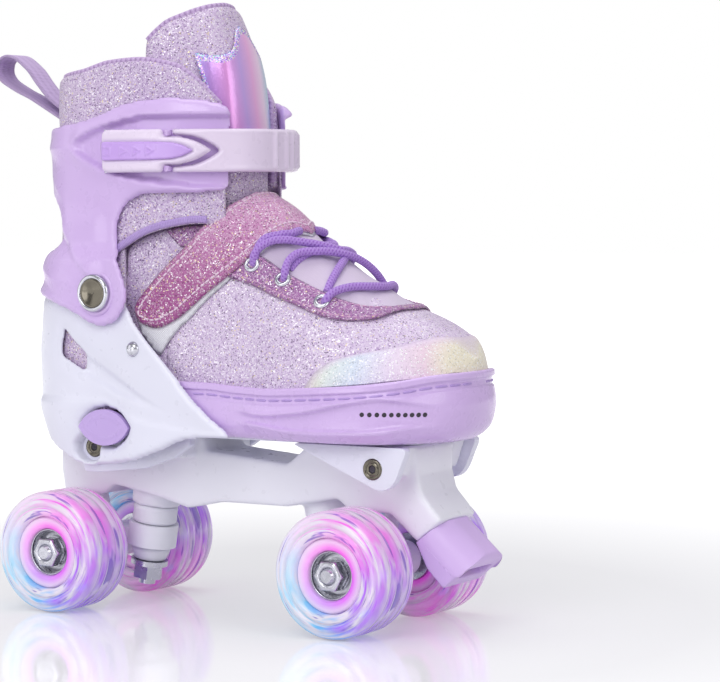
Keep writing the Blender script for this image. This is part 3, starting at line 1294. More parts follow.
class SKATE_OT_toe_cup(bpy.types.Operator):
    """Toe cup with its bead, moulded stitch line, vents, sole and slider tail"""

    bl_idname = "skate.toe_cup"
    bl_label = "Toe cup"

    def execute(self, context):
        shares = np.concatenate([np.linspace(0, 0.2, 6), np.linspace(0.24, 0.72, 20),
            np.linspace(0.74, 1, 16)])
        turns = np.concatenate([np.linspace(180, 95, 40), np.linspace(92, -92, 124),
            np.linspace(-95, -180, 40)])
        rings = []
        for t in turns:
            outer = cup(t, shares)
            rim = outer[-1]
            lean = [float(cup_curl(rim[0], z)) for z in (rim[2] - SOLE, 0.0)]
            edge = [cup_plan(t, d + lean[0]) for d in (0.3, -0.6, -1.8, -2.6)]
            lift = (0.45, 0.75, 0.55, -0.1)
            over = [(p[0], p[1], rim[2] + h) for p, h in zip(edge, lift)]
            inner = [(*cup_plan(t, CUP_SKIRT(z) - 3.0 + lean[1] if z < 3 else lean[0] - 3.0), z + SOLE)
                for z in np.linspace(rim[2] - SOLE - 1.0, -2.5, 10)]
            rings.append(np.concatenate([outer, over, inner]))
        piece("toe_cup_moulding", *loops_mesh(rings), plastic("lilac", 0.28, 0.3), "toe", "lilac",
            ("toe_cup",))
        sole = [tuple(cup_plan(t, -2.4 + 1.3 * cup_curl(cup_plan(t, 0)[0], 0.0)))
            for t in np.linspace(-180, 180, 90)]
        tail = rounded([(-82, -24), (-10, -24), (-10, 24), (-82, 24)], 5)
        plates = [prism(sole, SOLE + 0.2, SOLE + 3.2, 0.5, "z"), prism(tail, SOLE + 0.25, SOLE + 3.1, 0.5,
            "z")]
        piece("toe_slider", *merged(plates), plastic("lilac", 0.28, 0.3), "toe", "lilac")
        lines = []
        for first, last in ((157, 0), (-157, 0)):
            t = np.linspace(first, last, 260)
            x = cup_plan(t, 0)[..., 0]
            lines.append(cup(t, 1 - 4.7 / (CUP_RIM(x) + 2.5), 0.05))
        stitches("toe_cup_stitches", lines, thread("violet", 0.95), "toe", "violet", 6.2, 1.3, 0.55)
        dots = []
        for side in (-1, 1):
            for t in np.linspace(66.5, 37.5, 10):
                x = cup_plan(t, 0)[0]
                v = (11.2 + 2.5) / (CUP_RIM(x) + 2.5)
                at, ahead, above = cup(side * t, v, 0.02), cup(side * t + 1, v, 0.02), cup(side * t,
                    v + 0.04, 0.02)
                across, up = ahead - at, above - at
                across, up = across / np.linalg.norm(across), up / np.linalg.norm(up)
                out = np.cross(across, up)
                out *= np.sign(out @ (at - np.array([70, 0, at[2]])))
                turn = full_turn(14)
                disc = around(turn, across, up)
                dots.append(loops_mesh([at + r * disc + h * out for r, h in ((1.05, -0.4), (1.05, 0.06),
                    (0.8, 0.13), (0.3, 0.15))]))
        piece("toe_cup_vents", *merged(dots), dark("vent", 0.02), "toe", "lilac")
        return {"FINISHED"}


def cuff_wall(layout, u, v, d):
    """Point on the cuff's wall, kept clear of the heel shell under it."""
    at = ankle(layout.roll(u), v, CUFF_GAP(v) + d)
    low_part = (v < 80) & (at[..., 0] > ANKLE_MID)
    side = shell_side(at[..., 0], np.asarray(v, float), SHELL_WALL) + 0.5 + d
    wide = np.sign(at[..., 1]) * np.maximum(np.abs(at[..., 1]), side)
    at[..., 1] = np.where(low_part, wide, at[..., 1])
    return at


class SKATE_OT_cuff(bpy.types.Operator):
    """Ankle cuff with the strap's channel, rivet bosses, buckle lug and ratchet pod"""

    bl_idname = "skate.cuff"
    bl_label = "Cuff"

    def execute(self, context):
        layout = Wrap(lambda a: ankle(a, BAND_Z, 2))

        def flat(points, side=1):
            points = np.array(points, float)
            return np.stack([side * layout.unroll(ankle_angle(points[:, 0], points[:, 1], 2.0)),
                points[:, 1]], 1)

        top = [(x, float(CUFF_TOP(x))) for x in (10.5, 4, -4, -14, -26, -38, -48, -62, -80, -96, -120)]
        side = flat([(-120, 66), (-104, 64.2), (-88, 61.4), (-74, 57.2), (-64, 53.5), (-57, 49),
            (-49, 46.6), (-41, 49), (-37, 53), (-33.4, 59), (-33.4, 66), (-37, 74), (-40, 83), (-41, 91),
            (-40, 98), (-36, 104.5), (-28, 108.8), (-15, 109.3), (-2, 109.3), (10.5, 110.5)] + top)
        opening = rounded(both_halves(flat([(-120, 81.5), (-88, 81.5), (-78, 84), (-72.5, 89), (-72.5, 97),
            (-78, 104), (-88, 110), (-120, 110)])), 4)
        upper = curve([(-66, 131.5), (-60.3, 134.6), (-51.5, 138.6), (-42.7, 141.3), (-25.5, 144.7),
            (-8.5, 145.3), (8.2, 144.9), (16, 144.5)])
        lower = curve([(-66, 131.5), (-52, 123.6), (-40.2, 118.9), (-26, 115.6), (-3, 112.7), (16, 110.8)])

        def relief(u, v, deep):
            x = ankle(layout.roll(u), BAND_Z, 2)[..., 0]
            ahead = smooth((x + 67) / 8)
            inside = smooth((upper(x) - v) / 1.1 + 0.5) * smooth((v - lower(x)) / 1.1 + 0.5) * ahead
            off = np.maximum(np.maximum(v - upper(x), lower(x) - v), 0)
            lip = mm("lip") * np.exp(-(off / 6.5) ** 1.5) * ahead
            back_line = line_gap(x, v, [(-93, 132), (-84, 119), (-71, 107), (-66, 95), (-64, 84),
                (-58, 73)])
            side_line = line_gap(x, v, [(-93, 132), (-82, 131), (-66, 131)])
            foot_line = line_gap(x, v, [(-100, 77), (-84, 73), (-64, 67)])
            ridge = 0.7 * np.exp(-back_line / 5) + 1.7 * np.exp(-side_line / 4.5)
            ridge = ridge + 1.0 * np.exp(-foot_line / 3.5)
            ahead_of_fold = ((x + 77) * 30 + (v - 98) * 25) / math.hypot(30, 25)
            facet = 1.5 * smooth(ahead_of_fold / 2.4 + 0.5) * smooth((106 - v) / 12) * smooth((v - 62) / 7)
            thin = 1.7 * smooth((76 - v) / 8) * smooth((-72 - x) / 14)
            border = 0.7 * np.exp(-((deep - 1.8) / 1.1) ** 2) * smooth((72 - v) / 8) + facet * smooth((-44
                - x) / 10) - thin
            return lip * (1 - inside) - 1.6 * inside + ridge * (1 - inside) + border

        surface = lambda u, v, d: cuff_wall(layout, u, v, d)
        made = moulding(surface, [rounded(both_halves(side), 5.0, 8), opening], mm("shell_cell"), 3.0, 2.4,
            relief)
        sheet("cuff_moulding", made, plastic("lilac", 0.3, 0.25), "cuff", "lilac", ("cuff",), 1)
        boss = [(4.1, 2.4), (9.2, 2.4), (9.8, 2.6), (10.5, 2.2), (11, 1.2), (11, -1.2), (4.1, -1.2)]
        at = (low("ankle_rivets") + high("ankle_rivets")) / 2
        y = high("ankle_rivets")[1] - 5.0
        for name, s in SIDES:
            lathe(f"cuff_boss_{name}", boss, (at[0], s * y, at[2]), (0, s, 0), plastic("lilac", 0.3, 0.25),
                "cuff", "lilac", (), 64)
        pod = rounded([(-58, 8), (-54, 11), (-32, 11), (-26, 6), (-26, -6), (-32, -11), (-54, -11),
            (-58, -8)], 3)
        lug = rounded([(-45.3, -4.3), (-40.7, -4.3), (-40.7, 4.3), (-45.3, 4.3)], 1.2)
        parts = [prism([(x, z + SOLE + BAND_Z) for x, z in pod], 40.5, 45.1, 1.0),
            prism([(x, z + SOLE + BAND_Z) for x, z in lug], -48.5, -41.5, 0.9)]
        piece("cuff_lugs", *merged(parts), plastic("lilac", 0.3, 0.25), "cuff", "lilac")
        return {"FINISHED"}


# Soft boot

STRAP_FRONT = curve([(15, -15), (26, 1), (51, 25), (73, 37), (90, 44)])
STRAP_REAR = curve([(15, -32.5), (22.6, -22.5), (37, -8), (48, -1), (60.6, 6), (75, 11.5), (90, 14)])
QUARTER_REAR = curve([(0, -38), (24, -38), (27, -35), (30, -30), (40, -13.5), (50, 0), (57, 5), (75, 9.5),
    (90, 12)])
VAMP_REAR = curve([(0, -16), (15, -15), (26, 1), (51, 25), (73, 37), (90, 44)])
COLLAR_TOP = curve([(-100, 164), (-66, 167), (-48, 171), (-30, 172), (-11, 169), (-3, 164), (8, 151)])
COLLAR_FOOT = curve([(-100, 76), (-60, 71), (-36, 88), (-14, 99), (-4, 105.5), (8, 112)])
LEAN_GAP = curve([(-92, 3.8), (-60, 1.4), (-36, 1.9), (-14, 3.4), (8, 5)])
PAD_T, LINING_T, TONGUE_HIGH = 8.0, 3.0, 198.0
TONGUE_RIM = curve([(0, 0), (16, -1), (32, -3), (48, -6), (56, -8), (64, -12), (72, -18)])
TONGUE_OUT = curve([(0, 2.6), (20, 2.2), (34, 0), (72, 0)])
STAY_LOW = curve([(10, 37), (26, 39), (48, 43), (65, 44.3), (79, 49.3), (90.5, 60.3), (96, 80)])
STAY_HIGH = curve([(10, 44), (26, 51), (44, 54.6), (65, 57.8), (79, 62.8), (90.5, 73.5), (96, 86)])
EYELETS = ((25.5, 46), (42, 50.2), (63.7, 51.3))
STAY_T, LACE_R = 1.4, 2.0


def stuffed(obj, held, cap, pressure=4.0):
    """Fills a pad by a short cloth run: held points stay, and no point moves further than the cap."""
    rest = np.array([v.co for v in obj.data.vertices])
    pins = obj.vertex_groups.new(name="held")
    for i, weight in enumerate(held):
        if weight > 0:
            pins.add([i], float(weight), "REPLACE")
    cloth = obj.modifiers.new("Filling", "CLOTH")
    cloth.settings.use_pressure = True
    cloth.settings.uniform_pressure_force = pressure
    cloth.settings.effector_weights.gravity = 0.0
    cloth.settings.vertex_group_mass = "held"
    cloth.settings.quality = 6
    cloth.collision_settings.use_collision = False
    scene = bpy.context.scene
    for number in range(1, 21):
        scene.frame_set(number)
    done = obj.evaluated_get(bpy.context.evaluated_depsgraph_get())
    moved = np.array([v.co for v in done.data.vertices]) - rest
    obj.modifiers.remove(cloth)
    scene.frame_set(1)
    far = np.linalg.norm(moved, axis=1)
    moved *= np.minimum(1.0, cap * MM / np.maximum(far, 1e-9))[:, None]
    obj.data.vertices.foreach_set("co", (rest + moved).ravel())
    obj.data.update()
    obj.vertex_groups.clear()
    return obj


def pad_loop(top, foot_z, thick, n=18):
    """Section of a padded edge: heights and offsets up its face, over its round top and down inside."""
    r = thick / 2
    turn = np.linspace(0, math.pi, 9)[1:-1]
    up = np.linspace(foot_z + 1.5, top - r, n)
    face = [(z, 0.0) for z in up]
    over = [(top - r + r * math.sin(t), -r + r * math.cos(t)) for t in turn]
    down = [(z, -thick) for z in up[::-1]]
    under = [(foot_z + 1.5 - 1.5 * math.sin(t), -r - r * math.cos(t)) for t in turn]
    return np.array(face + over + down + under)


def foot_out(p, x):
    """Direction out of the foot's surface."""
    n = np.cross(foot(p, x + 1, 0) - foot(p, x - 1, 0), foot(p + 1, x, 0) - foot(p - 1, x, 0))
    return n / np.linalg.norm(n, axis=-1)[..., None]


def foot_sheet(name, angles, rear, front, rows, low_d, high_d, material, body, slot, replaces=(),
        subdivide=1):
    """Sheet over the foot between two edges and two offsets, with its edges rounded in."""
    shares = np.linspace(0, 1, rows)
    p = np.repeat(angles[:, None], rows, 1)
    x = mix(rear(angles)[:, None], front(angles)[:, None], shares[None])
    thick = high_d - low_d
    edge = np.minimum(np.minimum(shares, 1 - shares)[None] * np.abs(front(angles) - rear(angles))[:, None],
        np.minimum(angles - angles[0], angles[-1] - angles)[:, None] * 0.7)
    full = np.sqrt(1 - (1 - np.clip(edge / 1.8, 0, 1)) ** 2)
    mid = (low_d + high_d) / 2
    outer = foot(p, x, mid + thick / 2 * full)
    inner = foot(p, x, mid - thick / 2 * full)
    m, n = p.shape
    border = [(i, 0) for i in range(m)] + [(m - 1, j) for j in range(1, n)]
    border += [(i, n - 1) for i in range(m - 2, -1, -1)] + [(0, j) for j in range(n - 2, 0, -1)]
    ids = [i * n + j for i, j in border]
    return piece(name, *two_faces(outer, inner, [ids + ids[:1]]), material, body, slot, replaces,
        np.tile(edge.ravel(), 2), subdivide)


def toe_blend(obj):
    """Lets a piece stretch from under the instep strap to the sliding toe."""
    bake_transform(obj)
    return obj


class SKATE_OT_boot(bpy.types.Operator):
    """Fabric boot: inner boot, insole, instep pad and vamp"""

    bl_idname = "skate.boot"
    bl_label = "Soft boot"

    def execute(self, context):
        cloth = boot_cloth()
        angles = np.linspace(-101, 101, 90)
        rows = np.linspace(0, 1, 24)
        place = ankle(angles, 80, 0)[:, 0]
        tops = COLLAR_FOOT(place) - LEAN_GAP(place) - 0.8
        z = mix(FOOT_Z, tops[:, None], rows[None])
        rings = [np.concatenate([ankle(a, zs, -0.3), ankle(a, zs[::-1], -3.2)]) for a, zs in zip(angles, z)]
        piece("inner_boot_fabric", *loops_mesh(rings), cloth, "base", "glitter", ("inner_boot",))
        plan = [tuple(ankle(a, FOOT_Z, -4.6)[:2]) for a in np.linspace(-85, 85, 40)]
        front = [(-30, 31), (20, 31), (60, 36), (85, 34), (100, 26), (108, 12)]
        plan = rounded(plan + front + [(x, -y) for x, y in reversed(front)], 4, 3)
        piece("insole_felt", *prism(plan, SOLE + 7.5, SOLE + 11.4, 0.9, "z"), woven("felt", "fabric"),
            "base", "insole_felt", ("insole",))
        sides = np.linspace(0, 180, 110)
        back_edge = lambda p: QUARTER_REAR(fold(p)) - 2.5 * smooth((62 - fold(p)) / 16)
        foot_sheet("quarter_fabric", sides, back_edge, lambda p: VAMP_REAR(fold(p)) - 0.5, 26, -LINING_T,
            0.0, cloth, "base", "glitter", ("instep_pad",), 0)
        tail = lambda p: VAMP_REAR(fold(p)) - 2.0
        shares = np.linspace(0, 1, 32)
        turns = np.linspace(0, 90, 34)[1:]
        p = np.repeat(sides[:, None], 65, 1)
        x = np.concatenate([mix(tail(sides)[:, None], BALL_X, shares[None]),
            np.repeat(toe_place(turns)[None], len(sides), 0)], 1)
        dip = -0.35 * smooth((tail(sides)[:, None] + 4 - x) / 3)
        crease = 0.5 * np.sin(x / 4.5 + 3 * np.sin(np.radians(p) * 2)) * np.exp(-((x
            - 84) / 9) ** 2) * (fold(p) > 40)
        outer = foot(p, x, dip + crease * smooth((fold(p) - 40) / 20))
        inner = foot(p, np.minimum(x, VAMP_TIP - LINING_T), dip - LINING_T)
        m, n = p.shape
        borders = [i * n for i in range(m)], [j for j in range(n)], [(m - 1) * n + j for j in range(n)]
        vamp = piece("vamp_fabric", *two_faces(outer, inner, borders), glitter("vamp", "vamp", "vamp_deep",
            0.02), None, "glitter", ("vamp",))
        toe_blend(vamp)
        return {"FINISHED"}


class SKATE_OT_toe_cap(bpy.types.Operator):
    """Pastel overlay round the toe"""

    bl_idname = "skate.toe_cap"
    bl_label = "Toe cap"

    def execute(self, context):
        edge = curve([(0, 62.5), (0.028, 65.6), (0.076, 74.6), (0.103, 83.6), (0.172, 103.9), (0.28, 114),
            (0.42, 120), (0.5, 121)])
        low_p = curve([(62, 12), (66, 12.5), (90, 16.5), (110, 21.5), (120, 28), (126, 43)])
        turns, shares = np.linspace(0, 1, 90), np.linspace(0, 1, 34)
        s = np.repeat(turns[:, None], len(shares), 1)
        start = edge(np.minimum(turns, 1 - turns))[:, None]
        angle = mix(toe_turn(start), 90, shares[None])
        p = mix(low_p(toe_place(angle)), 180 - low_p(toe_place(angle)), s)
        gap = toe_place(angle) - start
        full = smooth(np.clip(gap / 4, 0, 1))
        outer = foot(p, toe_place(angle, 0.15 + 0.9 * full), 0.15 + 0.9 * full)
        inner = foot(p, toe_place(angle, 0.05), 0.05)
        m, n = s.shape
        made = two_faces(outer, inner, [[i * n for i in range(m)]])
        piece("toe_cap_overlay", *made, sunrise("toe"), "toe", "pastel", ("toe_cap",),
            np.tile(gap.ravel(), 2))
        return {"FINISHED"}


def inside_out(row, end):
    """Inner edge of the eyestays, walked from the far side round the throat's front end."""
    return [(-u, x) for u, x in row] + end[::-1] + list(reversed(row))


class SKATE_OT_lacing(bpy.types.Operator):
    """Eyestays, throat, eyelets and laces"""

    bl_idname = "skate.lacing"
    bl_label = "Lacing"

    def execute(self, context):
        over = Wrap(lambda p: foot(p, 55.0, 1.0), 0, 180)
        surface = lambda u, v, d: foot(over.roll(u), v, d)
        xs = np.linspace(10, 96, 40)
        outside = [(over.unroll(float(STAY_LOW(x))), max(x, float(STRAP_FRONT(STAY_LOW(x))) - 1.5))
            for x in xs]
        inside = [(over.unroll(float(STAY_HIGH(x))), max(x, float(STRAP_FRONT(STAY_HIGH(x))) - 1.5))
            for x in xs if x < 86]
        turned = lambda row: [(-u, x) for u, x in reversed(row)]
        front = [(-4, 97.2), (0, 97.6), (4, 97.2)]
        throat_end = [(-10, 91.2), (0, 93), (10, 91.2)]
        outline = outside + front + turned(outside) + inside_out(inside, throat_end)
        made = moulding(surface, [rounded(outline, 1.2, 3)], 1.5, STAY_T, 1.3, None, 0.5)
        stay = sheet("eyestay_fabric", made, glitter("stay", "stay", "stay_deep", 0.04), None, "magenta",
            ("eyestays",))
        toe_blend(stay)
        patch = np.array([(36.3, -20.4), (42.6, -11.2), (49, -1.8), (50, 3), (44, -1), (38, -6),
            (35.4, -12)])
        for name, side in SIDES:
            loop = np.stack([-side * over.unroll(patch[:, 0]), patch[:, 1]], 1)
            made = moulding(surface, [rounded(loop, 0.6, 3)], 1.0, 0.5, 0.5, None, 0.1)
            sheet(f"eyestay_rear_{name}", made, glitter("stay", "stay", "stay_deep", 0.04), "base",
                "magenta", ())
        gusset = [(u - 2.0, x) for u, x in inside] + [(-8, 93.8), (8, 93.8)]
        gusset += [(-u + 2.0, x) for u, x in reversed(inside)]
        folds = lambda u, v, deep: 0.35 * np.sin(v / 3.1 + 0.25 * u) * smooth(deep / 4)
        made = moulding(surface, [rounded(gusset, 1.0, 3)], 1.7, 0.6, 1.0, folds, -0.1)
        toe_blend(sheet("throat_gusset", made, woven("throat", "throat", 0.8), None, "liner"))
        lines = []
        for side in (-1, 1):
            for share in (0.14, 0.86):
                x = np.linspace(16, 92, 200)
                p = mix(STAY_LOW(x), STAY_HIGH(x), share)
                keep = x > STRAP_FRONT(p) + 1.5
                p = p if side < 0 else 180 - p
                lines.append(foot(p, x, 0.5 + STAY_T + 0.08)[keep])
        toe_blend(stitches("eyestay_stitches", lines, thread("pink"), None, "magenta", 2.0, 0.9, 0.26))
        rings = []
        for side in (-1, 1):
            for x, p in EYELETS:
                p = p if side < 0 else 180 - p
                at, out = foot(p, x, 0.6 + STAY_T), foot_out(p, x)
                out = out if out[2] > 0 else -out
                turn = full_turn(40)
                one = np.cross(out, (0, 1, 0))
                one /= np.linalg.norm(one)
                two = np.cross(out, one)
                spoke = around(turn, one, two)
                section = ((3.9, -0.6), (3.9, 0.1), (3.5, 0.7), (2.9, 0.95), (2.2, 0.8), (1.75, 0.2),
                    (1.7, -0.9))
                pts = np.array([at + r * spoke + h * out for r, h in section])
                rings.append((pts.reshape(-1, 3), grid_faces(len(section), 40, wrap_m=True, wrap_n=True)))
        eyelets = piece("eyelet_rings", *merged(rings), metal("eyelet", "steel", 0.2), None, "rivet",
            ("eyelets",))
        toe_blend(eyelets)
        bar = [(51.3, 63.7, -0.4), (53, 65, 2.6), (57.3, 66.2, 3.4), (66.5, 70.3, 3.2), (81, 76.7, 2.8),
            (90, 78.5, 2.8), (104, 75, 2.8), (120, 69, 3.2), (127, 65, 2.6), (128.7, 63.7, -0.4)]
        upper = [(50.2, 42, -0.4), (53, 42, 2.6), (58.1, 41.6, 3.8), (66, 43.7, 4.0), (73.4, 48.6, 4.2),
            (90, 57, 4.4), (110, 62, 3.6), (126, 63.4, 2.6), (128.7, 63.7, -0.4)]
        lower = [(46, 25.5, -0.4), (49, 25.5, 2.6), (57.2, 29.5, 4.4), (66, 36, 4.6), (72.8, 42.1, 4.4),
            (83.2, 50.4, 4.6), (90, 54, 4.6), (104, 53, 4.2), (122, 45, 2.8), (129.8, 42, -0.4)]
        tail = [(46, 25.5, -0.4), (50, 26, 2.6), (57.2, 27.6, 4.2), (66, 33, 4.2), (73.2, 36.3, 3.4),
            (82, 37, 1.6)]
        far = lambda row, most: [(180 - p, x, min(ride, most)) for p, x, ride in row]
        made = []
        under_3 = far(upper, 2.6)[:5] + [(90, 57, 2.0), (74, 61, 1.4), (62, 62.5, 0.5), (56, 63, -0.4)]
        under_2 = far(lower, 2.6)[:5] + [(96.8, 47, 2.0), (80, 47, 1.4), (62, 43.5, 0.6), (54, 42.5, -0.4)]
        for number, row in enumerate((bar, upper, under_3, lower, under_2, tail, far(tail, 4.2))):
            p, x, ride = spline(row, 60).T
            out = foot_out(p, x)
            path = foot(p, x, 0) + ride[:, None] * np.where(out[:, 2:] > 0, 1, -1) * out
            lace = tube_piece(f"lace_{number + 1}", spline(path[::3], 90), LACE_R * 0.95,
                knit("lace", "lace", 1.7, 4.0, 0.22), None, "lace", (), 14)
            made.append(toe_blend(lace))
        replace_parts(made[0], "laces")
        return {"FINISHED"}


def tongue_at(t, z, d):
    return ankle(180 - np.asarray(t, float), z, TONGUE_OUT(np.abs(t)) - PAD_T - 0.6 + d)


class SKATE_OT_collar(bpy.types.Operator):
    """Padded collar with its skirt, piping and pull loop"""

    bl_idname = "skate.collar"
    bl_label = "Collar"

    def execute(self, context):
        end = float(ankle_angle(8, BAND_Z))
        angles = np.linspace(-end, end, 96)
        rings, held = [], []
        for a in angles:
            x = float(ankle(a, BAND_Z, 0)[0])
            section = pad_loop(COLLAR_TOP(x), COLLAR_FOOT(x), PAD_T)
            close = np.clip((end - abs(a)) / 5.0, 0, 1)
            full = math.sqrt(max(0.0, 1 - (1 - close) ** 2)) * 0.85 + 0.15
            rings.append(ankle(a, section[:, 0], -PAD_T / 2 + (section[:, 1] + PAD_T / 2) * full))
            free = smooth((section[:, 0] - CUFF_TOP(x) + 2) / 6)
            held.append(1 - free * close)
        collar = piece("collar_pad", *loops_mesh(rings), boot_cloth(), "cuff", "glitter", ("collar",))
        stuffed(collar, np.concatenate(held), 2.0)
        collar.modifiers.new("Rounding", "SUBSURF").levels = 1
        a = np.linspace(-end + 1, end - 1, 260)
        x = ankle(a, BAND_Z, 0)[:, 0]
        rim = ankle(a, COLLAR_TOP(x) - 0.3, -PAD_T / 2 + 1.0)
        ends = [ankle(s * (end - 0.4), np.linspace(COLLAR_TOP(8) - 6, 114, 30), -PAD_T / 2)
            for s in (-1, 1)]
        tube_piece("collar_piping", np.concatenate([ends[0][::-1], rim, ends[1]]), mm("piping_r"),
            knit("piping", "piping", 2.6, 1.0, 0.25), "cuff", "violet", (), 12)
        low_line = curve([(-60, 74), (-50, 78.6), (-41.5, 83.9), (-35.5, 87.5), (-25.6, 92.5),
            (-14.7, 95.5), (-2.2, 97.3), (2.2, 97)])
        around = np.linspace(-end, end, 160)
        x = ankle(around, BAND_Z, 0)[:, 0]
        floor_z = np.where(x < -60, COLLAR_FOOT(x) - LEAN_GAP(x) - 3, low_line(x) - 2)
        heights = mix(floor_z[:, None], COLLAR_FOOT(x)[:, None] + 8, np.linspace(0, 1, 14)[None])
        rings = [np.concatenate([ankle(a, zs, 0.3), ankle(a, zs[::-1], -0.5)])
            for a, zs in zip(around, heights)]
        skirt = piece("ankle_skirt", *loops_mesh(rings), boot_cloth(), None, "glitter")
        soft = [skirt]
        for name, side in SIDES:
            x = np.linspace(-58, 2.2, 120)
            path = ankle(side * ankle_angle(x, low_line(x), 0.6), low_line(x), 0.6)
            soft.append(tube_piece(f"collar_foot_piping_{name}", path[::2], 1.7,
                knit("foot_piping", "violet", 0.8, 2.0, 0.14), None, "violet", (), 12))
        for obj in soft:
            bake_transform(obj)
        base = np.array([BACK(147.5) - 1, 0, 147.5 + SOLE])
        rise = math.radians(31)
        out, up = np.array([-math.cos(rise), 0, math.sin(rise)]), np.array([math.sin(rise), 0,
            math.cos(rise)])
        bend = spline([(0, -0.5), (8, -0.4), (16, 0.2), (26, 2.8), (36, 6.0), (44, 6.8), (50, 5.0), (53, 0),
            (51, -4.8), (45, -7.0), (36, -6.6), (26, -5.4), (16, -5.0), (8, -4.7), (0, -4.4)], 110)
        rings = []
        for k, (l, h) in enumerate(bend):
            n = min(k + 1, len(bend) - 1)
            ahead = bend[n] - bend[max(k - 1, 0)]
            ahead /= np.linalg.norm(ahead)
            normal = np.array([-ahead[1], ahead[0]])
            ring = []
            for y, d in rounded([(-7, -0.75), (7, -0.75), (7, 0.75), (-7, 0.75)], 0.7, 4):
                q = np.array([l, h]) + normal * d
                ring.append(base + out * q[0] + up * q[1] + np.array([0, y, 0]))
            rings.append(ring)
        ribbon = piece("pull_loop_ribbon", *loops_mesh(rings), knit("ribbon", "webbing", 0.9, 24.0, 0.25),
            "cuff", "webbing", ("pull_loop",))
        mapped(ribbon, len(rings), len(rings[0]), np.linspace(0, 110, len(rings)))
        return {"FINISHED"}


class SKATE_OT_tongue(bpy.types.Operator):
    """Padded tongue with its piping and crest"""

    bl_idname = "skate.tongue"
    bl_label = "Tongue"

    def execute(self, context):
        turns = np.linspace(72, -72, 72)
        rings, held = [], []
        for t in turns:
            section = pad_loop(TONGUE_HIGH + TONGUE_RIM(abs(t)), 99.0, PAD_T, 26)
            close = np.clip((72 - abs(t)) / 8.0, 0, 1)
            full = math.sqrt(max(0.0, 1 - (1 - close) ** 2)) * 0.85 + 0.15
            rings.append(tongue_at(t, section[:, 0], -PAD_T / 2 + (section[:, 1] + PAD_T / 2) * full))
            held.append(1 - smooth((section[:, 0] - 160) / 14) * close)
        tongue = piece("tongue_pad", *loops_mesh(rings), boot_cloth(), None, "glitter", ("tongue",))
        stuffed(tongue, np.concatenate(held), 1.6)
        tongue.modifiers.new("Rounding", "SUBSURF").levels = 1
        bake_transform(tongue)
        t = np.linspace(70, -70, 200)
        rim = tongue_at(t, TONGUE_HIGH + TONGUE_RIM(np.abs(t)) - 0.3, -PAD_T / 2 + 1.2)
        tube_piece("tongue_piping", rim, mm("piping_r"), knit("piping", "piping", 2.6, 1.0, 0.25), "cuff",
            "violet", (), 12)
        top = curve([(0, -10), (4, -12), (14, -22), (26, -24.5), (42, -23)])
        steps = np.linspace(42, -42, 85)
        flat = lambda t, z: np.stack([t * 1.25, z], 1)
        upper = flat(steps, TONGUE_HIGH + top(np.abs(steps)))
        sides = [(42, 171), (39, 160), (33, 147), (30, 135), (29, 121)]
        lower = flat(np.array([-t for t, _ in sides] + [t for t, _ in reversed(sides)], float),
            np.array([z for _, z in sides] + [z for _, z in reversed(sides)], float))
        loop = np.concatenate([upper, lower])
        surface = lambda u, v, d: tongue_at(u / 1.25, v, d)
        made = moulding(surface, [rounded(loop, 1.0, 3)], 1.3, 1.1, 1.2, None, 0.5)
        sheet("tongue_crest", made, rainbow("crest", 3.4), "cuff", "badge", ("tongue_badge",))
        return {"FINISHED"}


# Straps and buckle

class SKATE_OT_instep_strap(bpy.types.Operator):
    """Instep strap with its stitched border, on its base strip and anchors"""

    bl_idname = "skate.instep_strap"
    bl_label = "Instep strap"

    def execute(self, context):
        over = Wrap(lambda p: foot(p, -5.0, 2.0), 0, 180)
        surface = lambda u, v, d: foot(over.roll(u), v, d)
        front = curve([(15.7, -12.6), (18, -8.3), (28.1, 4.7), (44.1, 21.3), (53.7, 28.1), (63.3, 32.5),
            (78.9, 37.5), (90, 41)])
        ledge = curve([(15.7, 3.2), (25.7, 1.5), (44, 0.3), (90, 0.3)])

        def loop(p, rear, front, end):
            """Outline of a band over the foot: two long edges and a shaped end on each side."""
            u = over.unroll(p)
            half = [(a, float(front(b))) for a, b in zip(u, p)]
            back = [(a, float(rear(b))) for a, b in zip(u, p)]
            tail = [(over.unroll(a), x) for a, x in end]
            side = list(reversed(back)) + tail + half
            return np.array(side + [(-a, x) for a, x in reversed(side)])

        p = np.linspace(16.5, 89, 40)
        face = rounded(loop(p, STRAP_REAR, front, [(14.2, -33.2), (12.4, -32.5), (11.8, -30.3), (12, -23.6),
            (13.3, -18)]), 3.0, 4)
        strap = glitter("strap", "magenta", "magenta", 0.04, "pink")
        made = moulding(surface, [face], 1.4, 2.4, 1.6, None, 1.3)
        sheet("instep_strap_face", made, strap, "base", "magenta", ("instep_strap",))
        base = loop(p, lambda q: STRAP_REAR(q) - 1.0, lambda q: front(q) + ledge(q),
            [(13.5, -33.6), (10.3, -30.8), (8.6, -25), (7.6, -20.1), (9.5, -17.4), (12.4, -13.6)])
        made = moulding(surface, [rounded(base, 1.6, 4)], 1.6, 0.9, 0.6, None, 0.45)
        sheet("instep_strap_base", made, woven("tape", "bright", 1.1), "base", "white_webbing",
            ("strap_anchors",))
        edge = resampled(face, 0.5)
        along = np.roll(edge, -1, axis=0) - np.roll(edge, 1, axis=0)
        inward = np.stack([-along[:, 1], along[:, 0]], 1) / np.linalg.norm(along, axis=1)[:, None]
        moved = [edge + side * 2.7 * inward for side in (1, -1)]
        gap = [to_edge(row, [face]) for row in moved]
        seam, (far, _, within) = next((row, g) for row, g in zip(moved, gap) if g[2].mean() > 0.5)
        seam = seam[within & (far > 2.6)]
        stitches("instep_strap_stitches", [surface(seam[:, 0], seam[:, 1], 3.78)], thread("seam"), "base",
            "magenta", 2.4, 0.5, 0.5)
        return {"FINISHED"}


BAND_IN, BAND_T, BAND_LIFT = 4.1, 3.0, 4.2
LEVER_IN = 5.9


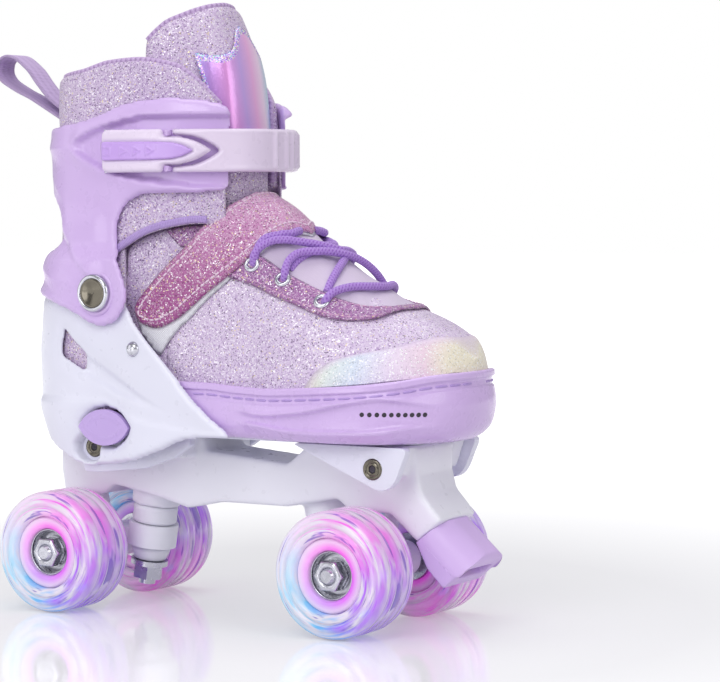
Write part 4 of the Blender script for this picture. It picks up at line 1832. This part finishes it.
def band(a, h, d):
    """Point on the ankle strap: angle from the back by the outer side, height and offset."""
    off = BAND_IN + BAND_LIFT * smooth((a - 212) / 30) + d
    at = ankle(-a, BAND_Z, off)
    return np.stack([at[..., 0], at[..., 1], at[..., 2] + h], -1)


def lever_face(x, h, d):
    at = ankle(-ankle_angle(x, BAND_Z, LEVER_IN + d), BAND_Z, LEVER_IN + d)
    return np.stack([at[..., 0], at[..., 1], at[..., 2] + h], -1)


class SKATE_OT_ankle_strap(bpy.types.Operator):
    """Ankle strap with its ladder teeth and the slot for the lever's nose"""

    bl_idname = "skate.ankle_strap"
    bl_label = "Ankle strap"

    def execute(self, context):
        first, last = float(ankle_angle(-15, BAND_Z, BAND_IN)), 360 - float(ankle_angle(-36, BAND_Z,
            BAND_IN))
        turn = np.linspace(first - 30, last, 1500)
        run = run_along(band(turn, 0, 1.5))
        at_x = lambda x: np.interp(ankle_angle(x, BAND_Z, BAND_IN), turn, run)
        start, tip = float(at_x(-10.8)), float(run[-1])
        slot = [(at_x(x), h) for x, h in ((-10.8, 7.3), (-6, 7.1), (-2, 6.4), (2, 5.0), (5.6, 2.6),
            (7.6, 0.9), (8.3, 0))]
        slot = slot + [(u, -h) for u, h in slot[-2::-1]]
        loop = [(start, 10), (tip - 3, 10), (tip, 5), (tip, -5), (tip - 3, -10), (start, -10)] + slot[::-1]
        teeth = np.interp(np.linspace(178, last - 5, 14), turn, run)

        def relief(u, v, deep):
            ridge = np.zeros_like(u)
            for t in teeth:
                ridge = np.maximum(ridge, 1.1 * np.sqrt(np.clip(1 - ((u - t) / 1.5) ** 2, 0, 1)))
            return ridge * smooth((8.6 - np.abs(v)) / 1.0) + 0.35 * np.exp(-((deep - 1.6) / 0.6) ** 2)

        surface = lambda u, v, d: band(np.interp(u, run, turn), v, d)
        made = moulding(surface, [rounded(loop, 1.6, 5)], 1.0, BAND_T, 1.2, relief)
        sheet("ankle_strap_band", made, plastic("pale", 0.3, 0.2), "strap", "pale_lilac", ("ankle_strap",))
        plate = [(float(at_x(x)), h) for x, h in ((-40.5, 6.8), (-6, 6.8), (-6, -6.8), (-40.5, -6.8))]
        made = moulding(surface, [rounded(plate, 1.5)], 1.4, 1.4, 0.8)
        sheet("ankle_strap_plate", made, plastic("pale", 0.35, 0.1), "strap", "pale_lilac")
        knuckles = []
        for side in (-1, 1):
            outline = rounded([(-12.6, side * 9.6), (-10.2, side * 9.6), (-10.2, side * 6.9),
                (-12.6, side * 6.9)], 0.8)
            y = float(lever_face(np.array(-11.4), 0, 0)[1])
            knuckles.append(prism([(x, z + SOLE + BAND_Z) for x, z in outline], y - 2.2, y + 1.2, 0.6))
        piece("strap_knuckles", *merged(knuckles), plastic("lilac", 0.3, 0.25), "strap", "violet")
        dress(metal("pin", "steel"), "strap_pins")
        return {"FINISHED"}


class SKATE_OT_buckle(bpy.types.Operator):
    """Buckle lever with its inset plate"""

    bl_idname = "skate.buckle"
    bl_label = "Buckle lever"

    def execute(self, context):
        edge = [(-44.2, 8.8), (-42, 10), (-13.2, 10), (-12.6, 6.5), (-6, 6.3), (-2, 5.6), (2, 4.2),
            (5.2, 2.2), (7.4, 0.4)]
        loop = rounded(edge + [(x, -h) for x, h in reversed(edge)], 1.5)
        inset = [(-43.4, 4.3), (-20, 4.2), (-8, 3.8), (-3, 2.6), (1.2, 0.3)]
        inset = rounded(inset + [(x, -h) for x, h in reversed(inset)], 1.0)

        def relief(u, v, deep):
            dist, _, within = to_edge(np.stack([u, v], 1), [resampled(inset, 0.5)])
            gap = np.where(within, -dist, dist)
            bed = smooth((0.9 - gap) / 0.5)
            return -0.5 * bed + 0.4 * (1 - bed) * np.clip(1 - (v / 10) ** 2, 0, 1)

        made = moulding(lever_face, [loop], 0.8, 3.4, 1.8, relief)
        sheet("buckle_lever_moulding", made, plastic("pale", 0.3, 0.2), "lever", "pale_lilac",
            ("buckle_lever",))
        marks = [[(-41.8, 1.7), (-38.6, 1.7), (-38.6, -1.7), (-41.8, -1.7)]]
        marks += [[(x, 1.9), (x + 3.4, 0), (x, -1.9)] for x in (-33, -26, -19.4)]

        def marked(u, v, deep):
            lift = 0.15 * np.clip(1 - (v / 5) ** 2, 0, 1)
            for mark in marks:
                line = line_gap(u, v, mark + mark[:1])
                lift = lift + 0.4 * smooth((0.55 - line) / 0.35)
            return lift

        made = moulding(lever_face, [inset], 0.42, 1.3, 0.8, marked, 3.1)
        sheet("lever_inset", made, plastic("insert", 0.3, 0.2), "lever", "violet", ("lever_insert",))
        return {"FINISHED"}


class SKATE_OT_ratchet(bpy.types.Operator):
    """Ratchet on the inner side: base with cheeks, and the release"""

    bl_idname = "skate.ratchet"
    bl_label = "Ratchet"

    def execute(self, context):
        rounded_copy("ratchet_base_plate", ["ratchet_base"], metal("ratchet", "gunmetal", 0.3), "cuff",
            "dark_steel", 0.4, 4)
        rounded_copy("ratchet_release_moulding", ["ratchet_release"], plastic("pale", 0.3, 0.2), "release",
            "pale_lilac", 0.45, 5)
        return {"FINISHED"}


# Stage

class SKATE_OT_stage(bpy.types.Operator):
    """White studio: floor, soft lights and the camera"""

    bl_idname = "skate.stage"
    bl_label = "Stage"

    def execute(self, context):
        scene = context.scene
        sizes = scene.skate_sizes
        scene.view_settings.view_transform = "Standard"
        world = bpy.data.worlds.new("studio")
        world.use_nodes = True
        scene.world = world
        tree = world.node_tree
        soft = tree.nodes["Background"]
        soft.inputs["Color"].default_value = (0.97, 0.965, 1.0, 1)
        soft.inputs["Strength"].default_value = 0.5
        plain = tree.nodes.new("ShaderNodeBackground")
        plain.inputs["Color"].default_value = (1, 1, 1, 1)
        path = tree.nodes.new("ShaderNodeLightPath")
        blend = tree.nodes.new("ShaderNodeMixShader")
        either = tree.nodes.new("ShaderNodeMath")
        either.operation = "MAXIMUM"
        tree.links.new(path.outputs["Is Camera Ray"], either.inputs[0])
        tree.links.new(path.outputs["Is Transmission Ray"], either.inputs[1])
        tree.links.new(either.outputs[0], blend.inputs[0])
        tree.links.new(soft.outputs[0], blend.inputs[1])
        tree.links.new(plain.outputs[0], blend.inputs[2])
        tree.links.new(blend.outputs[0], tree.nodes["World Output"].inputs["Surface"])
        bm = bmesh.new()
        bmesh.ops.create_grid(bm, x_segments=8, y_segments=8, size=6.0)
        mesh = bpy.data.meshes.new("floor")
        bm.to_mesh(mesh)
        bm.free()
        floor = bpy.data.objects.new("floor", mesh)
        scene.collection.objects.link(floor)
        f = Finish("studio_floor", Roughness=0.08, Specular_IOR_Level=0.85)
        f.set(Emission_Color=(1.0, 1.0, 1.0))
        seen = f.add("ShaderNodeLightPath").outputs
        looks = f.calc("MAXIMUM", seen["Is Camera Ray"], f.calc("MAXIMUM", seen["Is Glossy Ray"],
            seen["Is Transmission Ray"]))
        x, y, _ = f.apart(f.place)
        reach = f.calc("SQRT", f.calc("ADD", f.calc("MULTIPLY", x, x), f.calc("MULTIPLY", y, y)))
        away = f.span(reach, 0.22, 0.75)
        f.set(Base_Color=f.mix(away, (0.8, 0.8, 0.82), (0.3, 0.3, 0.3)))
        f.set(Emission_Strength=f.calc("MULTIPLY", looks, f.span(away, 0.0, 1.0, 0.22, 1.0)))
        mesh.materials.append(f.material)
        floor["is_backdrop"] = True
        for name, place, size, power in (("key", (0.3, -1.3, 1.2), 0.9, 8.5),
                ("fill", (-1.3, -1.0, 0.6), 1.0, 3.0), ("low", (-0.2, -1.3, 0.3), 0.5, 2.0),
                ("front", (1.5, -0.4, 0.7), 0.8, 4.0), ("top", (0.0, 0.3, 1.8), 1.2, 9.0)):
            data = bpy.data.lights.new(name, "AREA")
            data.size, data.energy = size, power
            light = bpy.data.objects.new(name, data)
            light.location = place
            light.rotation_euler = (Vector((0, 0, 0.12)) - Vector(place)).to_track_quat("-Z",
                "Y").to_euler()
            scene.collection.objects.link(light)
            light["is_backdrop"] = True
        data = bpy.data.cameras.new("camera")
        data.lens, data.sensor_width, data.sensor_fit = sizes.lens, 36.0, "HORIZONTAL"
        camera = bpy.data.objects.new("camera", data)
        az, el, roll = sizes.azimuth, sizes.elevation, sizes.roll
        back = Vector((math.sin(az) * math.cos(el), -math.cos(az) * math.cos(el), math.sin(el)))
        right = (-back).cross(Vector((0, 0, 1))).normalized()
        up = right.cross(-back)
        side = right * math.cos(roll) + up * math.sin(roll)
        above = up * math.cos(roll) - right * math.sin(roll)
        eye = Vector((66.07, 0.0, 130.86)) * MM + back * sizes.distance
        camera.matrix_world = Matrix((side, above, back)).transposed().to_4x4()
        camera.location = eye
        scene.collection.objects.link(camera)
        scene.camera = camera
        return {"FINISHED"}


PIECES = (SKATE_OT_stage, SKATE_OT_wheels, SKATE_OT_trucks, SKATE_OT_chassis, SKATE_OT_heel_shell,
    SKATE_OT_size_button, SKATE_OT_toe_cup, SKATE_OT_cuff, SKATE_OT_boot, SKATE_OT_toe_cap, SKATE_OT_lacing,
    SKATE_OT_collar, SKATE_OT_tongue, SKATE_OT_instep_strap, SKATE_OT_ankle_strap, SKATE_OT_buckle,
    SKATE_OT_ratchet)


class SKATE_PT_panel(bpy.types.Panel):
    """Sizes, colours and the pieces in the order that they are made"""

    bl_idname = "SKATE_PT_panel"
    bl_label = "Quad roller skate"
    bl_space_type = "VIEW_3D"
    bl_region_type = "UI"
    bl_category = "Skate"

    def draw(self, context):
        for group in (context.scene.skate_sizes, context.scene.skate_colours):
            box = self.layout.box()
            for key in group.__annotations__:
                box.prop(group, key)
        for made in PIECES:
            self.layout.operator(made.bl_idname)


CLASSES = (SkateColours, SkateSizes, *PIECES, SKATE_PT_panel)


def register():
    for entry in CLASSES:
        bpy.utils.register_class(entry)
    bpy.types.Scene.skate_colours = bpy.props.PointerProperty(type=SkateColours)
    bpy.types.Scene.skate_sizes = bpy.props.PointerProperty(type=SkateSizes)


def unregister():
    del bpy.types.Scene.skate_sizes
    del bpy.types.Scene.skate_colours
    for entry in reversed(CLASSES):
        bpy.utils.unregister_class(entry)


def main():
    register()
    for made in PIECES:
        group, name = made.bl_idname.split(".")
        if getattr(getattr(bpy.ops, group), name)() != {"FINISHED"}:
            raise RuntimeError(f"{made.bl_label} was not built")
    boxes = {"cad": CAD_BOX, "visual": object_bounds()}
    sizes = {key: [[float(c) for c in corner] for corner in box] for key, box in boxes.items()}


if __name__ == "__main__":
    main()
